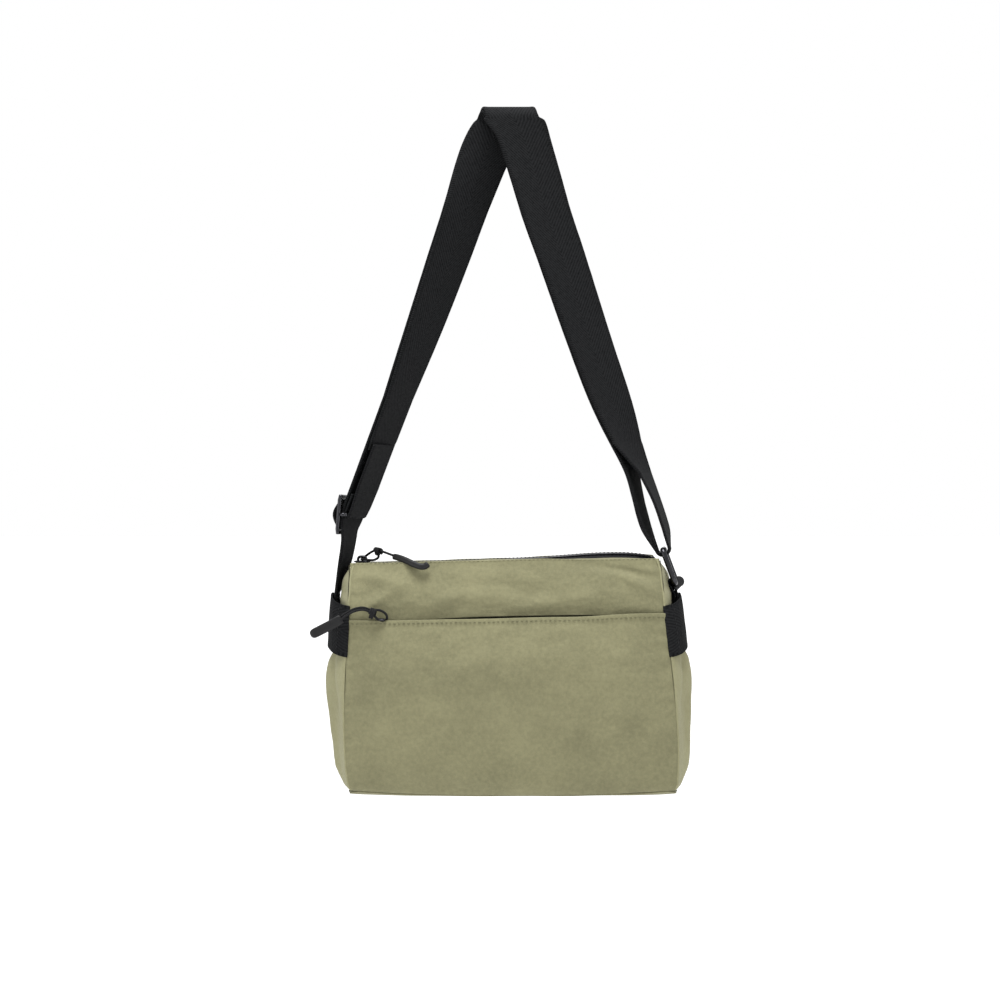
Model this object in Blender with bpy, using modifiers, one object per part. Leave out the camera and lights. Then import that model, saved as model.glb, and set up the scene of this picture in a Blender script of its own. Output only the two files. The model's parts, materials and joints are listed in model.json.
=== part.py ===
"""Crossbody purse: a soft rectangular bag hanging from its adjustable webbing strap.

Metres, +Z up, +X to the right as seen from the front, -Y towards the front.
The origin is the hook line: the underside of the strap's fold, where a hook or a shoulder holds it.
Heights called h are measured up from a level a little below the bag's base.
"""

import math

import bmesh
import bpy
from mathutils import Vector

# Whole bag
HOOK_H = 0.5166  # h of the hook line
HOOK = Vector((0, 0, HOOK_H))
BASE_H = 0.0030  # h of the bag's underside
BAG_H = 0.177  # h of the top front edge
CLOTH = 0.0012  # thickness of the outer fabric
GAP = 0.0003  # between pieces that touch
BASE_SHIFT = 0.0038  # the bag hangs a little askew: its base is off centre,
LEAN = -0.035  # its sides lean back towards the middle,
TILT = 0.024  # and its top edge rises to the right

# Outline of the bag: (height, value) pairs that a smooth curve joins
SEAM_HALF_W = [
    (0, 0.1185),
    (0.012, 0.1215),
    (0.041, 0.1224),
    (0.098, 0.1195),
    (0.136, 0.1166),
    (0.177, 0.1143),
]
SIDE_HALF_W = [
    (0, 0.1215),
    (0.010, 0.1275),
    (0.04, 0.1345),
    (0.086, 0.1365),
    (0.102, 0.1340),
    (0.116, 0.1275),
    (0.127, 0.1250),
    (0.1500, 0.1238),
    (0.156, 0.1213),
    (0.166, 0.1206),
    (0.177, 0.1148),
]
BAND_HALF_W = [(0.108, 0.1378), (0.116, 0.1368), (0.130, 0.1348), (0.152, 0.1322)]
SEAM_HALF_D = [
    (0, 0.041),
    (0.010, 0.0445),
    (0.04, 0.046),
    (0.086, 0.0445),
    (0.134, 0.039),
    (0.16, 0.0325),
    (0.177, 0.0262),
]
CROWN = [
    (0, 0.0),
    (0.04, 0.004),
    (0.09, 0.005),
    (0.125, 0.0012),
    (0.136, 0.0),
    (0.150, 0.001),
    (0.177, 0.0008),
]

# Base
BASE_T = 0.0018
WALL_LOW_H = BASE_H + BASE_T + GAP
BASE_HALF_W, BASE_HALF_D, BASE_CORNER = 0.1218, 0.0420, 0.009
BOARD_T = 0.0020

# Front pocket
POCKET_TOP_H = 0.1345
UPPER_FRONT_H = 0.1375
POCKET_DEPTH = 0.008
LINING_T = 0.0006

# Top opening and its zip
PANEL_TOP_H = 0.1768
GUSSET_TOP_H = 0.1752
FACING_OUT_Y, FACING_IN_Y = 0.0266, 0.0122
FACING_H = 0.1784
TOP_HALF_W = 0.1140
ZIP_RISE = 0.010  # the zip rises this much more to the right than the edges beside it
TAPE_T = 0.0006
TAPE_H = 0.1761
TEETH_H = TAPE_H + TAPE_T + GAP
TEETH_T = 0.0020
TEETH_COUNT = 56
ZIP_HALF_L = 0.1105

# Webbing
WEB_W = 0.038
WEB_T = 0.0019
LOOP_T = 0.0016
PLY_PITCH = 0.0026
AXIS_H = 0.1525  # the swing axis, just above the side bands
BAND_TOP_H = 0.1520
BAND_T = 0.0016
BAND_DIP = 0.006  # the bands' ends are this much lower than their middles
LEFT_TONGUE_X = -0.1294
RIGHT_TONGUE_X = 0.1262
FOLD_R = 0.0059  # middle of the inner ply round the hook line
FOLD_SHIFT = 0.0035  # the strap moves sideways by this much either side of the hook line
FOLD_H = HOOK_H - (FOLD_R - WEB_T / 2)

# Strap route, inner ply: (x, y, h, turn of the width from X towards Y in degrees)
LEFT_LOW = [
    (-0.1294, 0, 0.1525, 90),
    (-0.1286, 0, 0.1630, 86),
    (-0.1264, 0, 0.1740, 80),
    (-0.1242, 0, 0.1870, 70),
]
STRAIGHT = [(-0.1202, 0, 0.1990, 60), (-0.0821, 0.0010, 0.3000, 60)]
LEFT_HIGH = [
    (-0.0620, 0.0020, 0.3550, 50),
    (-0.0446, 0.0035, 0.4050, 41),
    (-0.0292, 0.0050, 0.4500, 33),
    (-0.0160, 0.0058, 0.4880, 11),
]
RIGHT_HIGH = [
    (0.0110, -0.0058, 0.4980, 4),
    (0.0198, -0.0056, 0.4697, 11),
    (0.0289, -0.0050, 0.4385, 17),
    (0.0403, -0.0042, 0.4051, 22),
    (0.0605, -0.0030, 0.3443, 30),
    (0.0765, -0.0020, 0.2987, 37),
    (0.0885, -0.0010, 0.2650, 50),
]
RIGHT_INNER = [(0.0950, 0, 0.2440, 64), (0.1003, 0, 0.2230, 72), (0.1068, 0, 0.2040, 77)]
RIGHT_OUTER = [(0.1196, 0, 0.2030, 78), (0.1130, 0, 0.2230, 73), (0.1036, 0, 0.2440, 65)]

# Strap adjuster, placed along the straight stretch
ADJUSTER_S = 0.0150
RETURN_PLY_S = 0.066
FRAME_T = 0.0022

# Right ring
RING_WIRE_R = 0.0021
RING_LOW = Vector((0.1278, 0, 0.1606))
RING_REACH = 0.0265
RING_LEAN = math.radians(17)
RING_TURN = math.radians(86)
RING_HALF_W = 0.0218

# Zip pulls
CORD_R = 0.0009
TOP_SLIDER_X = -0.1080
POCKET_SLIDER_X = -0.0930
POCKET_ZIP_H = 0.1360

PARTS = "crossbody_purse"
COLOURS = {
    "olive_nylon": ((0.28, 0.27, 0.155), 0.85, 0.0),
    "olive_lining": ((0.22, 0.22, 0.14), 0.8, 0.0),
    "grey_board": ((0.20, 0.20, 0.20), 0.9, 0.0),
    "black_webbing": ((0.014, 0.015, 0.016), 0.9, 0.0),
    "black_tape": ((0.012, 0.012, 0.014), 0.9, 0.0),
    "black_resin": ((0.010, 0.011, 0.018), 0.4, 0.0),
    "gunmetal": ((0.09, 0.09, 0.095), 0.3, 1.0),
    "black_cord": ((0.012, 0.012, 0.012), 0.8, 0.0),
    "black_rubber": ((0.022, 0.022, 0.023), 0.55, 0.0),
}


def clear_scene():
    for obj in list(bpy.data.objects):
        bpy.data.objects.remove(obj)


def parts_collection():
    found = bpy.data.collections.get(PARTS)
    if found is None:
        found = bpy.data.collections.new(PARTS)
        bpy.context.scene.collection.children.link(found)
    return found


def finish_piece(obj, colour):
    """Puts a piece into the object's collection with its own material."""
    base, rough, metal = COLOURS[colour]
    mat = bpy.data.materials.new(f"{obj.name}_{colour}")
    mat.use_nodes = True
    shader = mat.node_tree.nodes["Principled BSDF"]
    shader.inputs["Base Color"].default_value = (*base, 1)
    shader.inputs["Roughness"].default_value = rough
    shader.inputs["Metallic"].default_value = metal
    obj.data.materials.append(mat)
    parts_collection().objects.link(obj)
    return obj


def smooth_value(table, at):
    """The value of a table of (place, value) pairs on a smooth curve through them."""
    if at <= table[0][0]:
        return table[0][1]
    if at >= table[-1][0]:
        return table[-1][1]
    i = next(k for k in range(len(table) - 1) if table[k + 1][0] >= at)

    def secant(k):
        k = min(max(k, 0), len(table) - 2)
        return (table[k + 1][1] - table[k][1]) / (table[k + 1][0] - table[k][0])

    def slope(k):
        before, after = secant(k - 1), secant(k)
        return 2 * before * after / (before + after) if before * after > 0 else 0.0

    (x0, y0), (x1, y1) = table[i], table[i + 1]
    t = (at - x0) / (x1 - x0)
    rise, step = y1 - y0, x1 - x0
    inner = (1 - t) * (slope(i) * step - rise) - t * (slope(i + 1) * step - rise)
    return y0 + t * rise + t * (1 - t) * inner


def hang(x, y, h):
    """A point of the straight bag, moved to its place on the bag as it hangs."""
    return Vector((x + BASE_SHIFT + LEAN * h, y, h + TILT * x * h / BAG_H - HOOK_H))


def face_out(bm):
    """Turns a closed mesh's faces outwards."""
    bmesh.ops.recalc_face_normals(bm, faces=bm.faces)
    if bm.calc_volume(signed=True) < 0:
        bmesh.ops.reverse_faces(bm, faces=bm.faces)


def patch(name, surface, nu, nv, thickness, offset, colour):
    """A sheet placed by surface(u, v), both from 0 to 1, and given its thickness."""
    bm = bmesh.new()
    bmesh.ops.create_grid(bm, x_segments=nu, y_segments=nv, size=1)
    for vert in bm.verts:
        vert.co = surface((vert.co.x + 1) / 2, (vert.co.y + 1) / 2)
    mesh = bpy.data.meshes.new(name)
    bm.to_mesh(mesh)
    bm.free()
    obj = bpy.data.objects.new(name, mesh)
    solid = obj.modifiers.new("thickness", "SOLIDIFY")
    solid.thickness = thickness
    solid.offset = offset
    return finish_piece(obj, colour)


def between(low, high, t):
    return low + (high - low) * t


# ---- soft body -------------------------------------------------------------------------------


def wall_point(x_share, h, side, inset=0.0):
    """A point of the front (side -1) or back (side 1) wall; x_share runs from -1 to 1."""
    depth = smooth_value(SEAM_HALF_D, h) + smooth_value(CROWN, h) * (1 - x_share**4) - inset
    return hang(x_share * smooth_value(SEAM_HALF_W, h), side * depth, h)


def wall(name, low, high, side, nu, nv):
    def surface(u, v):
        return wall_point(2 * u - 1, between(low, high, v), side)

    return patch(name, surface, nu, nv, CLOTH, side, "olive_nylon")


def gusset(name, side):
    """A side wall, from just behind the front wall to just before the back wall."""

    def surface(u, v):
        h = between(WALL_LOW_H, GUSSET_TOP_H, v)
        depth = smooth_value(SEAM_HALF_D, h)
        y = between(-1, 1, u) * (depth - CLOTH - GAP)
        seam = smooth_value(SEAM_HALF_W, h)
        out = smooth_value(SIDE_HALF_W, h) - seam
        return hang(side * (seam + out * (1 - (y / depth) ** 4)), y, h)

    return patch(name, surface, 10, 16, CLOTH, -side, "olive_nylon")


def side_band(name, side):
    """The webbing band sewn across a gusset, with room behind it for the strap's tongue."""

    def surface(u, v):
        share = between(-1, 1, u)
        h = between(BAND_TOP_H - WEB_W, BAND_TOP_H, v) - BAND_DIP * share**2
        depth = smooth_value(SEAM_HALF_D, h) - CLOTH - GAP
        seam = smooth_value(SEAM_HALF_W, h)
        bulge = (smooth_value(SIDE_HALF_W, h) - seam) * (1 - (depth / (depth + CLOTH)) ** 4)
        edge = seam + bulge + BAND_T + 0.0018
        out = smooth_value(BAND_HALF_W, h) - edge
        place = hang(side * (edge + out * (1 - share**4)), share * depth, h)
        return Vector((place.x, place.y, h - HOOK_H))

    return patch(name, surface, 14, 6, BAND_T, -side, "black_webbing")


def rounded_corners(half_w, half_d, corner, steps):
    """The outline of a rectangle with rounded corners, centred on (0, 0)."""
    points = []
    for quarter, (sx, sy) in enumerate([(1, 1), (-1, 1), (-1, -1), (1, -1)]):
        for k in range(steps + 1):
            a = math.pi / 2 * (quarter + k / steps)
            x = sx * (half_w - corner) + corner * math.cos(a)
            y = sy * (half_d - corner) + corner * math.sin(a)
            points.append((x, y))
    return points


def plate(name, half_w, half_d, corner, low, thickness, colour):
    """A flat plate with rounded corners that lies level."""
    curve = bpy.data.curves.new(name, "CURVE")
    curve.dimensions = "2D"
    curve.fill_mode = "BOTH"
    curve.extrude = thickness / 2
    spline = curve.splines.new("POLY")
    points = rounded_corners(half_w, half_d, corner, 4)
    spline.points.add(len(points) - 1)
    for point, (x, y) in zip(spline.points, points):
        point.co = (x + BASE_SHIFT, y, 0, 1)
    spline.use_cyclic_u = True
    obj = bpy.data.objects.new(name, curve)
    obj.location.z = low + thickness / 2 - HOOK_H
    return finish_piece(obj, colour)


def pocket_lining():
    def surface(u, v):
        h = between(0.0075, 0.1330, v)
        x = between(-1, 1, u) * (smooth_value(SEAM_HALF_W, h) - 0.002)
        return hang(x, -smooth_value(SEAM_HALF_D, h) + POCKET_DEPTH, h)

    return patch("pocket_lining", surface, 6, 10, LINING_T, 1, "olive_lining")


def main_lining():
    """The open lining bag of the main compartment."""
    front_inset, back_inset, side_inset = POCKET_DEPTH + 0.0025, 0.0025, 0.004
    low, high, levels = WALL_LOW_H + BOARD_T + 2 * GAP, 0.168, 8
    around = 24

    def ring_point(share, h, shrink):
        a = 2 * math.pi * share
        c, s = math.cos(a), math.sin(a)
        fat = (abs(c) ** 6 + abs(s) ** 6) ** (-1 / 6)
        half_w = smooth_value(SEAM_HALF_W, h) - side_inset
        depth = smooth_value(SEAM_HALF_D, h)
        half_d = depth - (front_inset + back_inset) / 2
        middle = (front_inset - back_inset) / 2
        return hang(shrink * fat * c * half_w, middle + shrink * fat * s * half_d, h)

    bm = bmesh.new()
    rings = []
    floor = bm.verts.new(ring_point(0, low, 0))
    heights = [(0.5, low), (1, low)] + [(1, between(low, high, (k + 1) / levels)) for k in range(levels)]
    for shrink, h in heights:
        rings.append([bm.verts.new(ring_point(k / around, h, shrink)) for k in range(around)])
    for k in range(around):
        bm.faces.new((floor, rings[0][(k + 1) % around], rings[0][k]))
        for a, b in zip(rings, rings[1:]):
            bm.faces.new((a[k], a[(k + 1) % around], b[(k + 1) % around], b[k]))
    mesh = bpy.data.meshes.new("main_lining")
    bm.to_mesh(mesh)
    bm.free()
    obj = bpy.data.objects.new("main_lining", mesh)
    solid = obj.modifiers.new("thickness", "SOLIDIFY")
    solid.thickness = LINING_T
    solid.offset = -1
    return finish_piece(obj, "olive_lining")


def top_facing(name, side):
    """The fabric strip that closes the top, from the wall's edge to the zip tape."""

    def surface(u, v):
        x = between(-1, 1, u) * TOP_HALF_W
        y = between(FACING_OUT_Y, FACING_IN_Y, v)
        return hang(x, side * y, FACING_H) + Vector((0, 0, ZIP_RISE * x * v))

    return patch(name, surface, 10, 4, CLOTH, side, "olive_nylon")


# ---- zips ------------------------------------------------------------------------------------


def zip_place(x, y, h):
    """A point of the top zip, moved to its place on the bag as it hangs."""
    return hang(x, y, h) + Vector((0, 0, ZIP_RISE * x))


def zip_tape(name, side):
    def surface(u, v):
        return zip_place(between(-1, 1, u) * TOP_HALF_W, side * between(0.0160, 0.0004, v), TAPE_H)

    return patch(name, surface, 10, 1, TAPE_T, -side, "black_tape")


def zip_teeth(name, side):
    """A bead along the tape's edge with a comb of teeth that mesh with the other side's."""
    pitch = 2 * ZIP_HALF_L / TEETH_COUNT
    tooth = pitch / 2 - 2 * GAP
    bead_out, bead_in, tip = 0.0032, 0.0013, -0.0010
    first = -ZIP_HALF_L + (0 if side < 0 else pitch / 2)
    outline = [(-ZIP_HALF_L, bead_out), (-ZIP_HALF_L, bead_in)]
    for k in range(TEETH_COUNT):
        a = first + k * pitch + GAP
        outline += [(a, bead_in), (a, tip), (a + tooth, tip), (a + tooth, bead_in)]
    outline += [(ZIP_HALF_L, bead_in), (ZIP_HALF_L, bead_out)]
    outline = [p for k, p in enumerate(outline) if k == 0 or p != outline[k - 1]]
    bm = bmesh.new()
    low = [bm.verts.new(zip_place(x, side * y, TEETH_H)) for x, y in outline]
    face = bm.faces.new(low)
    raised = bmesh.ops.extrude_face_region(bm, geom=[face])
    for item in raised["geom"]:
        if isinstance(item, bmesh.types.BMVert):
            item.co.z += TEETH_T
    face_out(bm)
    mesh = bpy.data.meshes.new(name)
    bm.to_mesh(mesh)
    bm.free()
    return finish_piece(bpy.data.objects.new(name, mesh), "black_resin")


def pocket_tape(name, low, high):
    def surface(u, v):
        return wall_point(between(-0.93, 0.93, u), between(low, high, v), -1, 0.0052)

    return patch(name, surface, 8, 1, TAPE_T, -1, "black_tape")


def pocket_coil(name, h):
    def surface(u, v):
        return wall_point(between(-0.92, 0.92, u), h + between(-0.0006, 0.0006, v), -1, 0.0038)

    return patch(name, surface, 8, 1, 0.0011, -1, "black_resin")


def slider_body(name, centre, outline_map, half_width, plate_t, bridge_t):
    """A slider plate with a bridge over a hole for the cord, extruded from its side view.

    outline_map(along, up, across) gives the place of a point.
    """
    plate_l, bridge_l, arm = 0.0055, 0.0036, 0.0011
    outer = [(-plate_l, 0), (plate_l, 0), (plate_l, plate_t), (bridge_l, plate_t), (bridge_l, bridge_t - arm)]
    outer += [(bridge_l - arm, bridge_t), (-bridge_l + arm, bridge_t), (-bridge_l, bridge_t - arm)]
    outer += [(-bridge_l, plate_t), (-plate_l, plate_t)]
    inner = [(-bridge_l + arm, plate_t), (bridge_l - arm, plate_t)]
    inner += [(bridge_l - arm, bridge_t - arm), (-bridge_l + arm, bridge_t - arm)]
    curve = bpy.data.curves.new(name + "_outline", "CURVE")
    curve.dimensions = "2D"
    curve.fill_mode = "BOTH"
    curve.extrude = half_width
    for points in (outer, inner):
        spline = curve.splines.new("POLY")
        spline.points.add(len(points) - 1)
        for point, (x, y) in zip(spline.points, points):
            point.co = (x, y, 0, 1)
        spline.use_cyclic_u = True
    holder = bpy.data.objects.new(name + "_outline", curve)
    parts_collection().objects.link(holder)
    graph = bpy.context.evaluated_depsgraph_get()
    mesh = bpy.data.meshes.new_from_object(holder.evaluated_get(graph))
    bpy.data.objects.remove(holder)
    bm = bmesh.new()
    bm.from_mesh(mesh)
    bmesh.ops.remove_doubles(bm, verts=bm.verts, dist=1e-6)
    for vert in bm.verts:
        vert.co = outline_map(*vert.co)
    face_out(bm)
    bm.to_mesh(mesh)
    bm.free()
    mesh.name = name
    obj = bpy.data.objects.new(name, mesh)
    obj.location = centre
    return finish_piece(obj, "gunmetal")


def rod(name, points, radius, colour, origin):
    """A round rod through the points, with its object's origin on its joint's axis."""
    curve = bpy.data.curves.new(name, "CURVE")
    curve.dimensions = "3D"
    curve.bevel_depth = radius
    curve.bevel_resolution = 2
    curve.use_fill_caps = True
    spline = curve.splines.new("POLY")
    spline.points.add(len(points) - 1)
    for point, place in zip(spline.points, points):
        point.co = (*(Vector(place) - origin), 1)
    obj = bpy.data.objects.new(name, curve)
    obj.location = origin
    return finish_piece(obj, colour)


def smooth_route(points, steps):
    """Points on a smooth curve through the given ones (each a tuple of numbers)."""
    rows = [Vector(p) for p in points]
    out = []
    for i in range(len(rows) - 1):
        p0, p1, p2, p3 = rows[max(i - 1, 0)], rows[i], rows[i + 1], rows[min(i + 2, len(rows) - 1)]
        for k in range(steps):
            t = k / steps
            square = (2 * p0 - 5 * p1 + 4 * p2 - p3) * t**2
            cube = (3 * p1 - p0 - 3 * p2 + p3) * t**3
            out.append(0.5 * (2 * p1 + (p2 - p0) * t + square + cube))
    return out + [rows[-1]]


# ---- webbing ---------------------------------------------------------------------------------


def level(x, y, h):
    return Vector((x, y, h - HOOK_H))


def width_at(turn):
    return Vector((math.cos(turn), math.sin(turn), 0))


def stations(route, steps=3):
    """(centre, width direction) along a route of (x, y, h, turn in degrees)."""
    return [(level(p[0], p[1], p[2]), width_at(math.radians(p[3]))) for p in smooth_route(route, steps)]


def ribbon(name, line, thickness, colour, origin=Vector((0, 0, 0))):
    """A flat strap along (centre, cross direction, half width) stations.

    A cross direction needn't be square to the strap: it is drawn out until the strap has its width.
    """
    centres = [c for c, _, _ in line]
    rows = []
    for k, (centre, across, half) in enumerate(line):
        along = (centres[min(k + 1, len(line) - 1)] - centres[max(k - 1, 0)]).normalized()
        skew = (across - along * across.dot(along)).length
        rows.append((centre - origin, across * (half / skew)))
    bm = bmesh.new()
    bmesh.ops.create_grid(bm, x_segments=1, y_segments=len(rows) - 1, size=1)
    for vert in bm.verts:
        centre, half = rows[round((vert.co.y + 1) / 2 * (len(rows) - 1))]
        vert.co = centre + half * vert.co.x
    mesh = bpy.data.meshes.new(name)
    bm.to_mesh(mesh)
    bm.free()
    obj = bpy.data.objects.new(name, mesh)
    obj.location = origin
    solid = obj.modifiers.new("thickness", "SOLIDIFY")
    solid.thickness = thickness
    solid.offset = 0
    solid.use_even_offset = True
    return finish_piece(obj, colour)


def outward(before, after, across):
    """The strap's outer side between two places on it; it faces up over the fold."""
    along = (after - before).normalized()
    return along.cross((across - along * across.dot(along)).normalized())


def tongue(x, steps=6):
    """Stations of a rounded end that turns about the swing axis, tip first."""
    out = []
    for k in range(steps):
        a = math.radians(between(78, 0, k / (steps - 1)))
        half = WEB_W / 2
        out.append((level(x, 0, AXIS_H - half * math.sin(a)), width_at(math.pi / 2), half * math.cos(a)))
    return out


def fold_stations(radius, steps=8):
    """Over the hook line, from the back to the front."""
    out = []
    for k in range(steps + 1):
        a = math.pi * k / steps
        x = between(-FOLD_SHIFT, FOLD_SHIFT, k / steps)
        out.append((level(x, radius * math.cos(a), FOLD_H + radius * math.sin(a)), width_at(0)))
    return out


def ring_axes():
    across = width_at(RING_TURN)
    up = Vector((-math.sin(RING_LEAN), 0, math.cos(RING_LEAN)))
    up = (up - across * up.dot(across)).normalized()
    return across, up, across.cross(up)


def inner_line():
    """The inner ply's stations, from the adjuster over the hook to where the plies part."""
    straight = [tuple(between(a, b, k / 3) for a, b in zip(*STRAIGHT)) for k in range(4)]
    mid = [(level(*p[:3]), width_at(math.radians(p[3]))) for p in straight]
    high = stations([STRAIGHT[1]] + LEFT_HIGH + [(-FOLD_SHIFT, FOLD_R, FOLD_H, 0)])[1:-1]
    right = stations([(FOLD_SHIFT, -FOLD_R, FOLD_H, 0)] + RIGHT_HIGH)[1:]
    return mid + high + fold_stations(FOLD_R) + right


def outer_line(inner):
    """The outer ply's stations, a ply's pitch outside the inner one's."""
    out = []
    for k, (centre, width) in enumerate(inner):
        before, after = inner[max(k - 1, 0)][0], inner[min(k + 1, len(inner) - 1)][0]
        out.append((centre + outward(before, after, width) * PLY_PITCH, width))
    return out


def ring_wrap():
    """Stations round the ring's upper bar, from its outer side to its inner side."""
    across, up, face = ring_axes()
    bar = RING_LOW - HOOK + up * RING_REACH
    turn_r = RING_WIRE_R + 0.0018 + WEB_T / 2
    out = []
    for k in range(9):
        a = math.pi * k / 8
        out.append((bar + face * (turn_r * math.cos(a)) - up * (turn_r * math.sin(a) - 0.0007), across))
    return out


def strap_webbing():
    """One long webbing: left tongue, up over the hook, round the ring and back to the adjuster."""
    half = WEB_W / 2
    inner = inner_line()
    outer = outer_line(inner)
    first = outer[0][0]
    low = stations(LEFT_LOW + [(first.x, first.y, first.z + HOOK_H, STRAIGHT[0][3])])[:-1]
    start, along, _, _ = adjuster_axes(0)
    sewn_end = (start + along * RETURN_PLY_S, inner[0][1])
    inner = [sewn_end] + [s for s in inner if (s[0] - start).dot(along) > RETURN_PLY_S + 0.002]
    down = stations([RIGHT_HIGH[-1]] + RIGHT_INNER)[1:]
    line = low + outer + stations(RIGHT_OUTER)[::-1] + ring_wrap() + down[::-1] + inner[::-1]
    line = tongue(LEFT_TONGUE_X)[:-1] + [(c, w, half) for c, w in line]
    return ribbon("strap_webbing", line, WEB_T, "black_webbing")


def adjuster_axes(distance):
    """A place on the straight stretch, and its directions along, across and outward."""
    start, end = (level(*p[:3]) for p in STRAIGHT)
    along = (end - start).normalized()
    across = width_at(math.radians(STRAIGHT[0][3]))
    across = (across - along * across.dot(along)).normalized()
    return start + along * distance, along, across, along.cross(across)


def adjuster_middle():
    """The adjuster's middle, on the outer ply that passes through it, and its directions."""
    place, along, across, out = adjuster_axes(ADJUSTER_S)
    return place + out * PLY_PITCH, along, across, out


def strap_slider():
    """The three-bar adjuster: a plate with two slots, its middle bar on the webbing's inner side."""
    middle, along, across, out = adjuster_middle()
    widths = [-0.0235, -0.0195, 0.0195, 0.0235]
    lengths = [-0.0150, -0.0115, -0.0018, 0.0018, 0.0115, 0.0150]
    heights = [0.0030, 0.0030, -0.0046, -0.0046, 0.0030, 0.0030]
    bm = bmesh.new()
    bmesh.ops.create_grid(bm, x_segments=len(widths) - 1, y_segments=len(lengths) - 1, size=1)
    slots = []
    for face in bm.faces:
        centre = face.calc_center_median()
        if abs(centre.x) < 0.3 and 0.2 < abs(centre.y) < 0.6:
            slots.append(face)
    bmesh.ops.delete(bm, geom=slots, context="FACES_ONLY")
    for vert in bm.verts:
        i = round((vert.co.x + 1) / 2 * (len(widths) - 1))
        j = round((vert.co.y + 1) / 2 * (len(lengths) - 1))
        vert.co = across * widths[i] + along * lengths[j] + out * heights[j]
    mesh = bpy.data.meshes.new("strap_slider")
    bm.to_mesh(mesh)
    bm.free()
    obj = bpy.data.objects.new("strap_slider", mesh)
    obj.location = middle
    solid = obj.modifiers.new("thickness", "SOLIDIFY")
    solid.thickness = FRAME_T
    solid.offset = 0
    return finish_piece(obj, "gunmetal")


def strap_end_loop():
    """The strap's sewn end, folded round the adjuster's middle bar."""
    middle, along, across, out = adjuster_middle()
    inner, bar, outer = 0.0021, 0.0046, 0.0071
    route = [(0.0150, inner), (0.0075, inner), (0.0005, inner)]
    for k in range(1, 6):
        a = math.pi * k / 6
        route.append((-0.0010 - 0.0027 * math.sin(a), bar - (bar - inner) * math.cos(a)))
    route += [(0.0005, outer), (0.0060, outer), (0.0130, 0.0064)]
    route += [(0.0200, 0.0054), (0.0390, 0.0054), (0.0580, 0.0054)]
    line = [(middle + along * s - out * n, across, WEB_W / 2) for s, n in route]
    return ribbon("strap_end_loop", line, LOOP_T, "black_webbing", middle)


def right_ring():
    """The rectangular wire ring between the strap and its loop."""
    across, up, _ = ring_axes()
    low = RING_LOW - HOOK
    curve = bpy.data.curves.new("right_ring", "CURVE")
    curve.dimensions = "3D"
    curve.bevel_depth = RING_WIRE_R
    curve.bevel_resolution = 2
    spline = curve.splines.new("POLY")
    middle = RING_REACH / 2
    points = [across * x + up * (y + middle) for x, y in rounded_corners(RING_HALF_W, middle, 0.004, 3)]
    spline.points.add(len(points) - 1)
    for point, place in zip(spline.points, points):
        point.co = (*place, 1)
    spline.use_cyclic_u = True
    obj = bpy.data.objects.new("right_ring", curve)
    obj.location = low
    return finish_piece(obj, "gunmetal")


def ring_loop():
    """The webbing loop that holds the ring, both ends behind the right band."""
    across = ring_axes()[0]
    upward = Vector((0, 0, 1))
    sideways = across.cross(upward)
    low = RING_LOW - HOOK
    turn_r = RING_WIRE_R + 0.0011 + LOOP_T / 2
    spacing = 0.0011
    line = tongue(RIGHT_TONGUE_X + spacing)
    for k in range(9):
        a = math.radians(between(-35, 215, k / 8))
        line.append((low + (sideways * math.cos(a) + upward * math.sin(a)) * turn_r, across, WEB_W / 2))
    line += tongue(RIGHT_TONGUE_X - spacing)[::-1]
    return ribbon("ring_loop", line, LOOP_T, "black_webbing")


# ---- zip pulls -------------------------------------------------------------------------------


def top_slider():
    centre = zip_place(TOP_SLIDER_X, 0, TEETH_H + TEETH_T + GAP)
    slider_body("top_zip_slider", centre, lambda a, u, c: Vector((a, c, u)), 0.0038, 0.0016, 0.0050)
    return centre


def top_pull(centre):
    hole = centre + Vector((0, 0, 0.0027))
    route = [
        (0.0188, -0.0162, -0.0006),
        (0.0135, -0.0110, 0.0014),
        (0.0085, -0.0084, 0.0022),
        (0.0030, -0.0072, 0.0012),
        (0.0000, -0.0058, 0.0000),
        (0.0000, -0.0040, 0.0000),
        (0.0000, 0.0040, 0.0000),
        (0.0000, 0.0058, 0.0000),
        (0.0030, 0.0072, 0.0020),
        (0.0080, 0.0000, 0.0048),
        (0.0135, -0.0070, 0.0048),
        (0.0194, -0.0146, 0.0016),
    ]
    points = [hole + Vector(p) for p in smooth_route(route, 4)]
    rod("top_pull_cord", points, CORD_R, "black_cord", hole)
    grip = [
        (0.0204, -0.0164, 0.0014),
        (0.0244, -0.0198, 0.0030),
        (0.0300, -0.0250, 0.0030),
        (0.0360, -0.0300, 0.0008),
        (0.0420, -0.0330, -0.0036),
        (0.0460, -0.0344, -0.0078),
    ]
    points = [hole + Vector(p) for p in smooth_route(grip, 2)]
    rod("top_pull_grip", points, 0.0021, "black_rubber", hole)


def pocket_slider():
    centre = wall_point(POCKET_SLIDER_X / smooth_value(SEAM_HALF_W, POCKET_ZIP_H), POCKET_ZIP_H, -1, 0.0035)
    slider_body("pocket_zip_slider", centre, lambda a, u, c: Vector((a, -u, c)), 0.0012, 0.0022, 0.0095)
    return centre


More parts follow.
